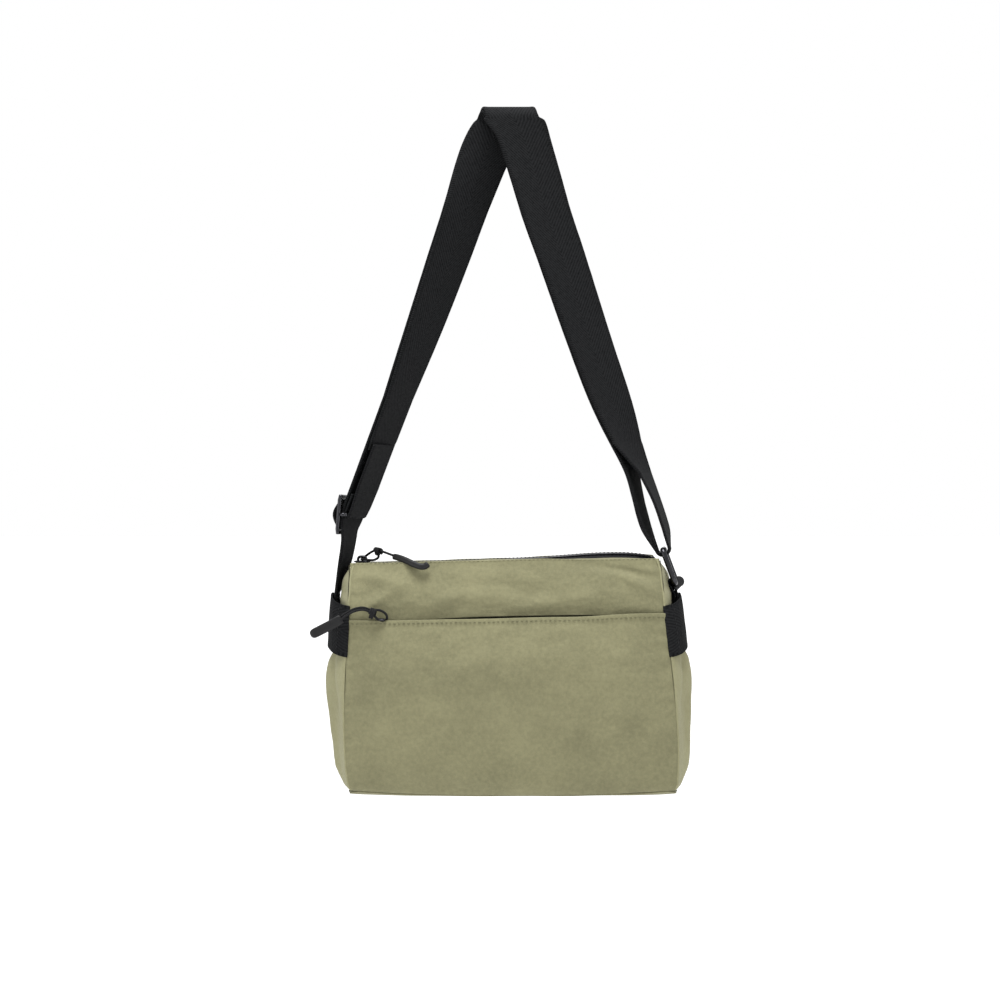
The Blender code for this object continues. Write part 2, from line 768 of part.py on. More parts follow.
def pocket_pull(centre):
    hole = centre + Vector((0, -0.0065, 0))
    route = [
        (-0.0320, -0.0020, -0.0008),
        (-0.0270, -0.0016, 0.0036),
        (-0.0205, -0.0016, 0.0062),
        (-0.0130, -0.0020, 0.0052),
        (-0.0060, -0.0022, 0.0036),
        (0.0000, 0.0000, 0.0030),
        (0.0000, 0.0000, -0.0030),
        (-0.0055, -0.0040, -0.0020),
        (-0.0130, -0.0045, 0.0022),
        (-0.0205, -0.0042, 0.0050),
        (-0.0270, -0.0042, 0.0026),
        (-0.0316, -0.0044, -0.0012),
    ]
    points = [hole + Vector(p) for p in smooth_route(route, 4)]
    rod("pocket_pull_cord", points, CORD_R, "black_cord", hole)
    grip = [
        (-0.0326, -0.0032, -0.0018),
        (-0.0400, -0.0036, -0.0062),
        (-0.0470, -0.0036, -0.0100),
        (-0.0535, -0.0034, -0.0134),
    ]
    points = [hole + Vector(p) for p in smooth_route(grip, 2)]
    rod("pocket_pull_grip", points, 0.0024, "black_rubber", hole)


def build():
    clear_scene()
    wall("pocket_panel", WALL_LOW_H, POCKET_TOP_H, -1, 12, 12)
    wall("front_upper_panel", UPPER_FRONT_H, PANEL_TOP_H, -1, 12, 5)
    wall("back_panel", WALL_LOW_H, PANEL_TOP_H, 1, 12, 14)
    for side, word in ((-1, "left"), (1, "right")):
        gusset(f"{word}_gusset", side)
        side_band(f"{word}_side_band", side)
    plate("base_panel", BASE_HALF_W, BASE_HALF_D, BASE_CORNER, BASE_H, BASE_T, "olive_nylon")
    plate("base_board", 0.114, 0.0385, 0.010, WALL_LOW_H, BOARD_T, "grey_board")
    pocket_lining()
    main_lining()
    for side, word in ((-1, "front"), (1, "back")):
        top_facing(f"top_{word}_facing", side)
        zip_tape(f"top_zip_tape_{word}", side)
        zip_teeth(f"top_zip_teeth_{word}", side)
    pocket_tape("pocket_zip_tape_lower", 0.1290, 0.1357)
    pocket_tape("pocket_zip_tape_upper", 0.1363, 0.1430)
    pocket_coil("pocket_zip_coil_lower", POCKET_ZIP_H - 0.0009)
    pocket_coil("pocket_zip_coil_upper", POCKET_ZIP_H + 0.0009)
    top_pull(top_slider())
    pocket_pull(pocket_slider())
    strap_webbing()
    strap_slider()
    strap_end_loop()
    right_ring()
    ring_loop()


build()
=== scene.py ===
import json
import math

import bmesh
import bpy
import numpy as np
from mathutils import Matrix, Vector, kdtree, noise


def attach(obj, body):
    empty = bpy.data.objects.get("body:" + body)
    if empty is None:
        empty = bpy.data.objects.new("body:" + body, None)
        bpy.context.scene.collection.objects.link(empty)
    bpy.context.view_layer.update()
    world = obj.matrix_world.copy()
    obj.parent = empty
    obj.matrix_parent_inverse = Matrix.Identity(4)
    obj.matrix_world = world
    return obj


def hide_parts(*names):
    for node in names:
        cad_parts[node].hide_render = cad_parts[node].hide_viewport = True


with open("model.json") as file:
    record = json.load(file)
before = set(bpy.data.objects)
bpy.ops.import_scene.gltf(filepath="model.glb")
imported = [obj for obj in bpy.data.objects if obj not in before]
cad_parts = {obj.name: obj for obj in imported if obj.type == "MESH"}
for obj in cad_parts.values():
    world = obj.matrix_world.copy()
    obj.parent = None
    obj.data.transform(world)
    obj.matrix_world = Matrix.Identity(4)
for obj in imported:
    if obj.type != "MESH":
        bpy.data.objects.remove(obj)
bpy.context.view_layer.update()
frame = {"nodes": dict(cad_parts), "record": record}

# ---- sizes, in metres ----

HOOK_H = 0.5166  # h of the frame's origin, the hook line; h is 0 a little below the bag's base
HOOK = Vector((0, 0, HOOK_H))
BASE_H = 0.0030
BAG_H = 0.177
CLOTH = 0.0012
GAP = 0.0003
BASE_SHIFT, LEAN, TILT = 0.0038, -0.035, 0.024

# Outline of the bag: (height, value) pairs that a smooth curve joins
SEAM_HALF_W = [(0, 0.1185), (0.012, 0.1215), (0.041, 0.1224), (0.098, 0.1195), (0.136, 0.1166), (0.177, 0.1143)]
SIDE_HALF_W = [
    (0, 0.1215), (0.010, 0.1275), (0.04, 0.1345), (0.086, 0.1365), (0.102, 0.1340), (0.116, 0.1275),
    (0.127, 0.1250), (0.1500, 0.1238), (0.156, 0.1213), (0.166, 0.1206), (0.177, 0.1148),
]
BAND_HALF_W = [(0.108, 0.1362), (0.116, 0.1353), (0.130, 0.1343), (0.152, 0.1322)]
SEAM_HALF_D = [(0, 0.041), (0.010, 0.0445), (0.04, 0.046), (0.086, 0.0445), (0.134, 0.039)]
SEAM_HALF_D += [(0.16, 0.0325), (0.177, 0.0262)]
CROWN = [(0, 0.0), (0.04, 0.004), (0.09, 0.005), (0.125, 0.0012), (0.136, 0.0), (0.150, 0.001), (0.177, 0.0008)]
BASE_T = 0.0018
BASE_HALF_W, BASE_HALF_D, BASE_CORNER = 0.1218, 0.0420, 0.009
WALL_LOW_H = BASE_H + BASE_T + GAP
POCKET_TOP_H = 0.1357
UPPER_FRONT_H = 0.1352
PANEL_TOP_H = 0.1768
GUSSET_TOP_H = 0.1752
FACING_OUT_Y, FACING_IN_Y = 0.0266, 0.0122
FACING_H = 0.1784
TOP_HALF_W = 0.1140
ZIP_RISE = 0.010
TAPE_H, TAPE_T = 0.1761, 0.0006
TEETH_H = TAPE_H + TAPE_T + GAP
TEETH_T = 0.0020
ZIP_HALF_L = 0.1105
TEETH_COUNT = 74  # on each side of the top zip
COIL_TURNS, COIL_R = 150, 0.00045

WEB_W, WEB_T, LOOP_T = 0.038, 0.0019, 0.0016
PLY_PITCH = 0.0026
AXIS_H = 0.1525
BAND_TOP_H, BAND_T, BAND_DIP = 0.1530, 0.0016, 0.0085
LEFT_TONGUE_X, RIGHT_TONGUE_X = -0.1294, 0.1262
FOLD_R = 0.0059
FOLD_SHIFT = 0.0035
FOLD_H = HOOK_H - (FOLD_R - WEB_T / 2)

# Strap route, inner ply: (x, y, h, turn of the width from X towards Y in degrees)
LEFT_LOW = [
    (-0.1294, 0, 0.1525, 90), (-0.1266, 0, 0.1625, 85), (-0.1248, 0, 0.1700, 82), (-0.1231, 0, 0.1780, 80),
    (-0.1216, 0, 0.1860, 79), (-0.1206, 0, 0.1930, 78), (-0.1201, 0, 0.2000, 76),
    (-0.1188, 0.0005, 0.2070, 70),
]
STRAIGHT = [(-0.1202, 0, 0.1990, 66), (-0.0821, 0.0010, 0.3000, 62)]
LEFT_HIGH = [
    (-0.0620, 0.0020, 0.3550, 50), (-0.0446, 0.0035, 0.4050, 41), (-0.0292, 0.0050, 0.4500, 33),
    (-0.0160, 0.0058, 0.4880, 11),
]
RIGHT_HIGH = [
    (0.0110, -0.0058, 0.4980, 4), (0.0198, -0.0056, 0.4697, 11), (0.0289, -0.0050, 0.4385, 17),
    (0.0403, -0.0042, 0.4051, 22), (0.0605, -0.0030, 0.3443, 30), (0.0765, -0.0020, 0.2987, 37),
    (0.0885, -0.0010, 0.2650, 54),
]
RIGHT_INNER = [
    (0.0942, 0, 0.2440, 71), (0.0988, 0, 0.2240, 75), (0.1018, 0, 0.2120, 75), (0.1048, 0, 0.2020, 76),
    (0.1080, 0, 0.1945, 79),
]
RIGHT_OUTER = [
    (0.1209, 0, 0.1955, 81), (0.1190, 0, 0.2040, 79), (0.1126, 0, 0.2230, 78), (0.1036, 0, 0.2440, 73),
]
ADJUSTER_S = 0.0150  # places along the straight stretch
RETURN_PLY_S = 0.066
FRAME_TURN = math.radians(75)
FRAME_HALF_W, FRAME_HALF_L = 0.0204, 0.0134

RING_WIRE_R = 0.0021
RING_LOW = Vector((0.1272, 0, 0.1606))
RING_REACH = 0.0265
RING_LEAN, RING_TURN = math.radians(20.5), math.radians(84.5)
RING_HALF_W = 0.0218

CORD_R = 0.0009
TOP_SLIDER_X, POCKET_SLIDER_X = -0.1080, -0.0930
POCKET_ZIP_H = 0.1360
TOP_PLATE = (0.0038, 0.0016, 0.0050)  # of a slider: the plate's half width and thickness, the bridge's height
POCKET_PLATE = (0.0012, 0.0022, 0.0095)
SIDES = ((-1, "left"), (1, "right"))


# ---- shape functions ----


def between(low, high, t):
    return low + (high - low) * t


def spread(low, high, count):
    """Evenly spaced values from low to high, with count steps."""
    return [between(low, high, k / count) for k in range(count + 1)]


def clamp(t):
    return min(1.0, max(0.0, t))


def off_edges(v, steepness):
    """1 in the middle of the range from 0 to 1, falling to 0 at both ends."""
    return min(1.0, steepness * v, steepness * (1 - v))


def smooth_value(table, at):
    """The value of a table of (place, value) pairs on a smooth curve through them."""
    if at <= table[0][0]:
        return table[0][1]
    if at >= table[-1][0]:
        return table[-1][1]
    i = next(k for k in range(len(table) - 1) if table[k + 1][0] >= at)

    def secant(k):
        k = min(max(k, 0), len(table) - 2)
        return (table[k + 1][1] - table[k][1]) / (table[k + 1][0] - table[k][0])

    def slope(k):
        before, after = secant(k - 1), secant(k)
        return 2 * before * after / (before + after) if before * after > 0 else 0.0

    (x0, y0), (x1, y1) = table[i], table[i + 1]
    t = (at - x0) / (x1 - x0)
    rise, step = y1 - y0, x1 - x0
    inner = (1 - t) * (slope(i) * step - rise) - t * (slope(i + 1) * step - rise)
    return y0 + t * rise + t * (1 - t) * inner


def rise_about(x, at, width):
    """Rises smoothly from 0 to 1 about a place."""
    return 0.5 + 0.5 * math.tanh((x - at) / width)


def rounded_rim(half_x, half_y, corner, steps):
    """(x, y) points round a rectangle whose corners are round."""
    rim = []
    for sx, sy, first in ((1, -1, 0), (1, 1, 1), (-1, 1, 0), (-1, -1, 1)):
        for k in range(steps + 1):
            a = math.pi / 2 * (k / steps if first else 1 - k / steps)
            x, y = half_x - corner + corner * math.cos(a), half_y - corner + corner * math.sin(a)
            rim.append((sx * x, sy * y))
    return rim


def hang(x, y, h):
    """A point of the straight bag, moved to its place on the bag as it hangs."""
    return Vector((x + BASE_SHIFT + LEAN * h, y, h + TILT * x * h / BAG_H - HOOK_H))


def zip_place(x, y, h):
    return hang(x, y, h) + Vector((0, 0, ZIP_RISE * x))


def zip_line(x, y, h):
    """A point of the top zip as it lies: raised a little near its right end, and bowed down at it."""
    rise = 0.0018 * math.exp(-(((x - 0.072) / 0.034) ** 2))
    return zip_place(x, y, h) + Vector((0, 0, rise - 0.0030 * max(0.0, (x - 0.088) / 0.026) ** 2))


def wall_point(x_share, h, side, inset=0.0):
    """A point of the front (side -1) or back (side 1) wall; x_share runs from -1 to 1."""
    depth = smooth_value(SEAM_HALF_D, h) + smooth_value(CROWN, h) * (1 - x_share**4) - inset
    return hang(x_share * smooth_value(SEAM_HALF_W, h), side * depth, h)


def gusset_point(v_share, h, side):
    """A point of the left (side -1) or right (side 1) wall; v_share runs from front, -1, to back, 1."""
    depth = smooth_value(SEAM_HALF_D, h)
    y = v_share * (depth - CLOTH - GAP)
    seam = smooth_value(SEAM_HALF_W, h)
    out = smooth_value(SIDE_HALF_W, h) - seam
    return hang(side * (seam + out * (1 - (y / depth) ** 4)), y, h)


def smooth_route(points, steps):
    """Points on a smooth curve through the given ones (each a tuple of numbers)."""
    rows = [Vector(p) for p in points]
    out = []
    for i in range(len(rows) - 1):
        p0, p1, p2, p3 = rows[max(i - 1, 0)], rows[i], rows[i + 1], rows[min(i + 2, len(rows) - 1)]
        for k in range(steps):
            t = k / steps
            square = (2 * p0 - 5 * p1 + 4 * p2 - p3) * t**2
            cube = (3 * p1 - p0 - 3 * p2 + p3) * t**3
            out.append(0.5 * (2 * p1 + (p2 - p0) * t + square + cube))
    return out + [rows[-1]]


def ripple(place, size, seed):
    """Smooth noise from -1 to 1 whose features are about this size."""
    return noise.noise(Vector(place) / size + Vector((seed, 2 * seed, 3 * seed)))


# ---- materials ----


class Look:
    """A material: a Principled shader and the nodes that feed it."""

    def __init__(self, name, rough, metal=0.0, **sockets):
        self.mat = bpy.data.materials.new(name)
        self.mat.use_nodes = True
        self.nodes, self.links = self.mat.node_tree.nodes, self.mat.node_tree.links
        self.shader = self.nodes["Principled BSDF"]
        self.shader.inputs["Roughness"].default_value = rough
        self.shader.inputs["Metallic"].default_value = metal
        for key, value in sockets.items():
            self.shader.inputs[key.replace("_", " ")].default_value = value
        self.coord = self.nodes.new("ShaderNodeTexCoord")

    def node(self, kind, **inputs):
        made = self.nodes.new(kind)
        for key, value in inputs.items():
            socket = made.inputs[int(key[1:]) if key[0] == "i" and key[1:].isdigit() else key.replace("_", " ")]
            if isinstance(value, bpy.types.NodeSocket):
                self.links.new(value, socket)
            else:
                socket.default_value = value
        return made

    def math(self, operation, first, second=0.0, third=0.0):
        made = self.node("ShaderNodeMath", i0=first, i1=second, i2=third)
        made.operation = operation
        return made.outputs[0]

    def plus(self, first, second):
        return self.math("ADD", first, second)

    def times(self, first, second):
        return self.math("MULTIPLY", first, second)

    def uv(self):
        """The surface's own two directions, in metres."""
        split = self.node("ShaderNodeSeparateXYZ", Vector=self.coord.outputs["UV"])
        return split.outputs[0], split.outputs[1]

    def wave(self, along, period):
        return self.math("SINE", self.times(along, 2 * math.pi / period))

    def noise(self, size, detail=3.0, rough=0.55):
        made = self.node("ShaderNodeTexNoise", Scale=1 / size, Detail=detail, Roughness=rough)
        self.links.new(self.coord.outputs["Object"], made.inputs["Vector"])
        return made.outputs["Fac"]

    def mix(self, factor, first, second):
        made = self.nodes.new("ShaderNodeMix")
        made.data_type = "RGBA"
        for key, value in ((0, factor), (6, first), (7, second)):
            if isinstance(value, bpy.types.NodeSocket):
                self.links.new(value, made.inputs[key])
            else:
                made.inputs[key].default_value = value if key == 0 else (*value, 1)
        return made.outputs[2]

    def ramp(self, value, low, high):
        made = self.node("ShaderNodeMapRange", Value=value)
        made.inputs["From Min"].default_value = low
        made.inputs["From Max"].default_value = high
        return made.outputs[0]

    def colour(self, socket):
        if isinstance(socket, bpy.types.NodeSocket):
            self.links.new(socket, self.shader.inputs["Base Color"])
        else:
            self.shader.inputs["Base Color"].default_value = (*socket, 1)
        return self

    def bump(self, height, distance, strength=1.0, before=None):
        made = self.node("ShaderNodeBump", Height=height)
        made.inputs["Strength"].default_value = strength
        made.inputs["Distance"].default_value = distance
        if before:
            self.links.new(before.outputs[0], made.inputs["Normal"])
        self.links.new(made.outputs[0], self.shader.inputs["Normal"])
        return made


def nylon(name, light, dark, shade):
    """Washed nylon: a fine plain weave, a crinkle and a faint mottle."""
    look = Look(name, 0.85, Sheen_Weight=0.06, Sheen_Roughness=0.5, Specular_IOR_Level=0.2)
    u, v = look.uv()
    weave = look.times(look.wave(u, 0.00075), look.wave(v, 0.00075))
    mottle = look.noise(0.0030, 4.0, 0.7)
    patches = look.noise(0.045, 2.0)
    cloud = look.plus(look.times(mottle, 0.55), look.times(patches, 0.45))
    base = look.mix(look.ramp(cloud, 0.36, 0.64), dark, light)
    threads = look.ramp(weave, -1.0, 1.0)
    look.colour(look.mix(look.times(threads, 0.22), base, shade))
    coarse = look.bump(look.noise(0.0050, 5.0, 0.65), 0.00070, 0.75)
    look.bump(weave, 0.00006, 0.7, coarse)
    return look.mat


def webbing(name, light, dark):
    """Twill webbing: slanting ribs that turn at the middle, and a plain selvedge at each edge."""
    look = Look(name, 0.9, Specular_IOR_Level=0.06)
    u, v = look.uv()
    side = look.math("ABSOLUTE", u)
    slant = look.wave(look.plus(side, look.times(v, 0.7)), 0.0022)
    edge = look.ramp(side, WEB_W / 2 - 0.0028, WEB_W / 2 - 0.0020)
    ribs = look.wave(v, 0.0016)
    across = look.wave(u, 0.0011)
    body = look.math("MULTIPLY_ADD", across, 0.25, slant)
    body = look.math("MULTIPLY_ADD", look.noise(0.0015, 2.0), 1.4, body)
    flat = look.times(body, look.math("SUBTRACT", 1.0, edge))
    height = look.plus(flat, look.times(ribs, edge))
    # partly the webbing's own mottle, partly painted light: pale flecks as painted highlights on the fibres, and the
    # raised ribs painted lighter
    fleck_and_highlight = look.plus(look.times(height, 0.22), look.noise(0.0022, 3.0, 0.7))
    look.colour(look.mix(look.ramp(fleck_and_highlight, 0.2, 0.85), dark, light))
    look.bump(height, 0.00012, 0.55)
    return look.mat


def tape(name):
    """Zip tape: a fine rib along its length."""
    look = Look(name, 0.9, Specular_IOR_Level=0.1)
    u, v = look.uv()
    look.colour(look.mix(look.ramp(look.noise(0.002), 0.3, 0.7), (0.004, 0.004, 0.005), (0.008, 0.008, 0.010)))
    look.bump(look.times(look.wave(u, 0.0009), look.wave(v, 0.0009)), 0.00008, 0.7)
    return look.mat


def gunmetal(name):
    """Dark plating with faint polishing streaks."""
    look = Look(name, 0.28, 1.0)
    streak = look.noise(0.006, 4.0)
    look.colour(look.mix(streak, (0.016, 0.016, 0.018), (0.050, 0.050, 0.054)))
    look.links.new(look.math("MULTIPLY_ADD", streak, 0.25, 0.16), look.shader.inputs["Roughness"])
    look.bump(look.noise(0.0012, 3.0), 0.00004, 0.4)
    return look.mat


def plain(name, light, dark, rough, grain, depth, specular=0.5):
    """Moulded rubber, resin or board, with a grain of this size."""
    look = Look(name, rough, Specular_IOR_Level=specular)
    look.colour(look.mix(look.ramp(look.noise(grain * 4), 0.3, 0.7), dark, light))
    look.bump(look.noise(grain, 3.0), depth, 0.5)
    return look.mat


def braid(name, light, dark, pitch):
    """Braided cord or thread: strands that cross on the slant."""
    look = Look(name, 0.8, Specular_IOR_Level=0.15)
    split = look.node("ShaderNodeSeparateXYZ", Vector=look.coord.outputs["Object"])
    x, y, z = split.outputs
    one = look.wave(look.plus(look.plus(x, y), z), pitch)
    two = look.wave(look.math("SUBTRACT", look.math("SUBTRACT", x, y), z), pitch)
    strands = look.math("MAXIMUM", one, two)
    look.colour(look.mix(look.ramp(strands, -0.4, 1.0), dark, light))
    look.bump(strands, 0.00012, 0.8)
    return look.mat


OLIVE_SIDE_PAINTED_LIGHT = (0.200, 0.194, 0.112)  # painted light: the side walls wear a lighter copy of the olive cloth, for the light that falls on them from the sides
OLIVE_LIGHT, OLIVE_DARK, OLIVE_SHADE = (0.168, 0.160, 0.089), (0.119, 0.114, 0.063), (0.075, 0.072, 0.040)
MATERIALS = {
    "olive_side_painted_light": nylon("olive_side_painted_light", OLIVE_SIDE_PAINTED_LIGHT, OLIVE_LIGHT, OLIVE_DARK),
    "olive_nylon": nylon("olive_nylon", OLIVE_LIGHT, OLIVE_DARK, OLIVE_SHADE),
    "olive_lining": nylon("olive_lining", (0.21, 0.21, 0.135), (0.17, 0.17, 0.11), (0.11, 0.11, 0.07)),
    "black_webbing": webbing("black_webbing", (0.0095, 0.0098, 0.0104), (0.0018, 0.0019, 0.0022)),
    "black_tape": tape("black_tape"),
    "gunmetal": gunmetal("gunmetal"),
    "black_rubber": plain(
        "black_rubber", (0.0062, 0.0062, 0.0066), (0.0036, 0.0036, 0.0039), 0.50, 0.0009, 0.00008, 0.22
    ),
    "black_resin": plain("black_resin", (0.008, 0.008, 0.012), (0.004, 0.004, 0.007), 0.33, 0.0008, 0.00003, 0.4),
    "grey_board": plain("grey_board", (0.22, 0.22, 0.22), (0.17, 0.17, 0.17), 0.9, 0.0010, 0.00010),
    "black_cord": braid("black_cord", (0.011, 0.011, 0.012), (0.003, 0.003, 0.003), 0.0011),
    # the seam cord's dark olive, much darker than the thread, is painted shade of the gap along the seam
    "olive_seam_shade": braid("olive_seam_shade", (0.050, 0.048, 0.028), (0.022, 0.021, 0.013), 0.0007),
    "olive_thread": braid("olive_thread", (0.120, 0.116, 0.066), (0.060, 0.058, 0.034), 0.0007),
    "black_thread": braid("black_thread", (0.020, 0.020, 0.021), (0.008, 0.008, 0.008), 0.0007),
}
SLOT_OF = {name: "olive_nylon" for name in ("olive_side_painted_light", "olive_seam_shade", "olive_thread")}
SLOT_OF["black_thread"] = "black_webbing"


# ---- mesh helpers ----


def new_object(name, data):
    obj = bpy.data.objects.new(name, data)
    bpy.context.scene.collection.objects.link(obj)
    return obj


def place_piece(name, data, material, body, *nodes):
    """Adds an object for this mesh or curve, on its body, in place of these CAD nodes."""
    obj = new_object(name, data)
    data.materials.append(MATERIALS[material])
    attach(obj, body)
    if nodes:
        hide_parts(*nodes)
    return obj


def mesh_from(bm, name):
    mesh = bpy.data.meshes.new(name)
    bm.to_mesh(mesh)
    bm.free()
    mesh.polygons.foreach_set("use_smooth", [True] * len(mesh.polygons))
    return mesh


def capped(bm, rings, name):
    """The mesh of rings that are joined already, closed at both ends."""
    bm.faces.new(rings[0][::-1])
    bm.faces.new(rings[-1])
    bmesh.ops.recalc_face_normals(bm, faces=bm.faces)
    return mesh_from(bm, name)


def skinned(bm, rings, name):
    """The closed mesh over these rings of vertices."""
    for low, high in zip(rings, rings[1:]):
        for j in range(len(low)):
            n = (j + 1) % len(low)
            bm.faces.new((low[j], low[n], high[n], high[j]))
    return capped(bm, rings, name)


def sheet_mesh(name, surface, nu, nv, size_u, size_v, crosswise=False):
    """A grid placed by surface(u, v), both from 0 to 1, whose UV map is in metres."""
    bm = bmesh.new()
    bmesh.ops.create_grid(bm, x_segments=nu, y_segments=nv, size=1)
    layer = bm.loops.layers.uv.verify()
    places = {}
    for vert in bm.verts:
        places[vert] = ((vert.co.x + 1) / 2, (vert.co.y + 1) / 2)
    for face in bm.faces:
        for loop in face.loops:
            u, v = places[loop.vert]
            loop[layer].uv = ((v - 0.5) * size_v, u * size_u) if crosswise else ((u - 0.5) * size_u, v * size_v)
    for vert, (u, v) in places.items():
        vert.co = surface(u, v)
    return mesh_from(bm, name)


def soften(obj, width, segments):
    """Rounds the object's sharp edges."""
    bevel = obj.modifiers.new("soft_edge", "BEVEL")
    bevel.width = width
    bevel.segments = segments
    bevel.limit_method = "ANGLE"
    bevel.angle_limit = math.radians(50)


def thicken(obj, thickness, offset, round_edge=True):
    """Gives a sheet its thickness, outward or inward of it by the sign of offset."""
    solid = obj.modifiers.new("thickness", "SOLIDIFY")
    solid.thickness = thickness
    solid.offset = offset
    solid.use_even_offset = True
    if round_edge:
        soften(obj, thickness * 0.42, 3)


def tube(name, points, radius, material, body, *nodes):
    """A round cord or wire through the points."""
    curve = bpy.data.curves.new(name, "CURVE")
    curve.dimensions = "3D"
    curve.bevel_depth = radius
    curve.bevel_resolution = 4
    curve.use_fill_caps = True
    spline = curve.splines.new("POLY")
    spline.points.add(len(points) - 1)
    for point, place in zip(spline.points, points):
        point.co = (*place, 1)
    return place_piece(name, curve, material, body, *nodes)


def web_mesh(name, line, thickness):
    """Webbing along (centre, cross direction, half width) stations: full at its selvedges, round at its edges."""
    shares = [-1, -0.985, -0.95, -0.88, -0.80, -0.4, 0, 0.4, 0.80, 0.88, 0.95, 0.985, 1]
    fullness = [0.35, 0.80, 1.10, 1.10, 0.92, 0.90, 0.90, 0.90, 0.92, 1.10, 1.10, 0.80, 0.35]
    section = [(c, f) for c, f in zip(shares, fullness)] + [(c, -f) for c, f in zip(shares[::-1], fullness[::-1])]
    bm = bmesh.new()
    layer = bm.loops.layers.uv.verify()
    rings, lengths, reach = [], [], 0.0
    for k, (centre, across, half) in enumerate(line):
        before, after = line[max(k - 1, 0)][0], line[min(k + 1, len(line) - 1)][0]
        along = (after - before).normalized()
        skew = (across - along * across.dot(along)).length
        facing = along.cross(across).normalized()
        reach += (centre - before).length
        lengths.append(reach)
        wide = across * (half / skew) * (1 + 0.006 * ripple((reach, 0, 0), 0.009, 2.0))
        ring = []
        for share, full in section:
            ring.append(bm.verts.new(centre + wide * share + facing * (full * thickness / 2)))
        rings.append(ring)
    count = len(section)
    for k, (low, high) in enumerate(zip(rings, rings[1:])):
        for j in range(count):
            n = (j + 1) % count
            face = bm.faces.new((low[j], low[n], high[n], high[j]))
            places = [(section[j][0], k), (section[n][0], k), (section[n][0], k + 1), (section[j][0], k + 1)]
            for loop, (share, row) in zip(face.loops, places):
                loop[layer].uv = (share * line[row][2], lengths[row])
    return capped(bm, rings, name)


def bar_mesh(name, points, side, half_wide, half_thick, power=4.0, ends=None, around=20):
    """A rounded bar along the points, wide towards side; power squares its section, ends(t) scales it."""
    bm = bmesh.new()
    rings = []
    for k, place in enumerate(points):
        along = (points[min(k + 1, len(points) - 1)] - points[max(k - 1, 0)]).normalized()
        wide = (side - along * side.dot(along)).normalized()
        thick = along.cross(wide)
        scale = ends(k / (len(points) - 1)) if ends else 1.0
        ring = []
        for j in range(around):
            a = 2 * math.pi * j / around
            c, s = math.cos(a), math.sin(a)
            fat = (abs(c) ** power + abs(s) ** power) ** (-1 / power) * scale
            ring.append(bm.verts.new(place + wide * (c * fat * half_wide) + thick * (s * fat * half_thick)))
        rings.append(ring)
    return skinned(bm, rings, name)


def joined(name, meshes):
    """One mesh of several."""
    bm = bmesh.new()
    for mesh in meshes:
        bm.from_mesh(mesh)
        bpy.data.meshes.remove(mesh)
    return mesh_from(bm, name)


STITCH_GAP, STITCH_R = 0.0011, 0.00024


def stitch_row(name, points, out, body, material="olive_thread", length=0.0024):
    """Separate stitches along a line on a surface that faces out."""
    bm = bmesh.new()
    reach = 0.0
    next_at = 0.0
    for a, b in zip(points, points[1:]):
        run = (b - a).length
        if run < 1e-9:
            continue
        along = (b - a) / run
        while next_at < reach + run:
            centre = a + along * (next_at - reach)
            side = along.cross(out).normalized()
            up = side.cross(along).normalized()
            turn = Matrix((along, side, up)).transposed().to_4x4()
            size = Matrix.Diagonal((length / 2, STITCH_R, STITCH_R, 1))
            bmesh.ops.create_icosphere(bm, subdivisions=1, radius=1, matrix=Matrix.Translation(centre) @ turn @ size)
            next_at += length + STITCH_GAP
        reach += run
    return place_piece(name, mesh_from(bm, name), material, body)


# ---- camera, light and floor ----

CAMERA_PLACE = (-0.006, -1.79, -0.2936)
BAG_MIDDLE = (0, 0, -0.42)  # where the lights point
LIGHT_SIZE = 0.9
FLOOR_Z = -0.95
# Lights: (name, place, power)
LIGHTS = [
    ("top_light", (-0.1, -0.28, 1.1), 47),
    ("left_light", (-1.6, -0.9, -0.45), 8.5),
    ("right_light", (1.6, -0.9, -0.45), 8.5),
]


def add_camera():
    data = bpy.data.cameras.new("camera")
    data.lens, data.sensor_width = 85, 36
    camera = new_object("camera", data)
    camera.location = CAMERA_PLACE
    camera.rotation_euler = (math.pi / 2, 0, 0)
    bpy.context.scene.camera = camera


def add_light(name, place, power):
    data = bpy.data.lights.new(name, "AREA")
    data.size, data.energy = LIGHT_SIZE, power
    light = new_object(name, data)
    light.location = place
    light.rotation_euler = (Vector(BAG_MIDDLE) - Vector(place)).to_track_quat("-Z", "Y").to_euler()


def add_stage():
    """A white room: a pale floor well below the hanging bag, and soft light from all round."""
    bm = bmesh.new()
    bmesh.ops.create_grid(bm, x_segments=4, y_segments=4, size=40)
    floor = new_object("floor", mesh_from(bm, "floor"))
    floor.location = (0, 0, FLOOR_Z)
    look = Look("pale_floor", 0.9, Emission_Color=(1, 1, 1, 1), Emission_Strength=0.35)
    look.colour(look.mix(look.noise(0.5), (0.90, 0.90, 0.90), (0.93, 0.93, 0.93)))
    floor.data.materials.append(look.mat)
    world = bpy.data.worlds.new("soft_white")
    world.use_nodes = True
    background = world.node_tree.nodes["Background"].inputs
    background["Color"].default_value, background["Strength"].default_value = (1, 1, 1, 1), 1.0
    bpy.context.scene.world = world
    for name, place, power in LIGHTS:
        add_light(name, place, power)
    bpy.context.scene.view_settings.view_transform = "Standard"


# ---- pull cords ----

TOP_HOLE = zip_place(TOP_SLIDER_X, 0, TEETH_H + TEETH_T + GAP) + Vector((0, 0, 0.0027))
POCKET_SHARE = POCKET_SLIDER_X / smooth_value(SEAM_HALF_W, POCKET_ZIP_H)
POCKET_SLIDER = wall_point(POCKET_SHARE, POCKET_ZIP_H, -1, 0.0035)
POCKET_HOLE = POCKET_SLIDER + Vector((0, -0.0065, 0))
KNOT_TURNS, KNOT_STEPS = 2.6, 44

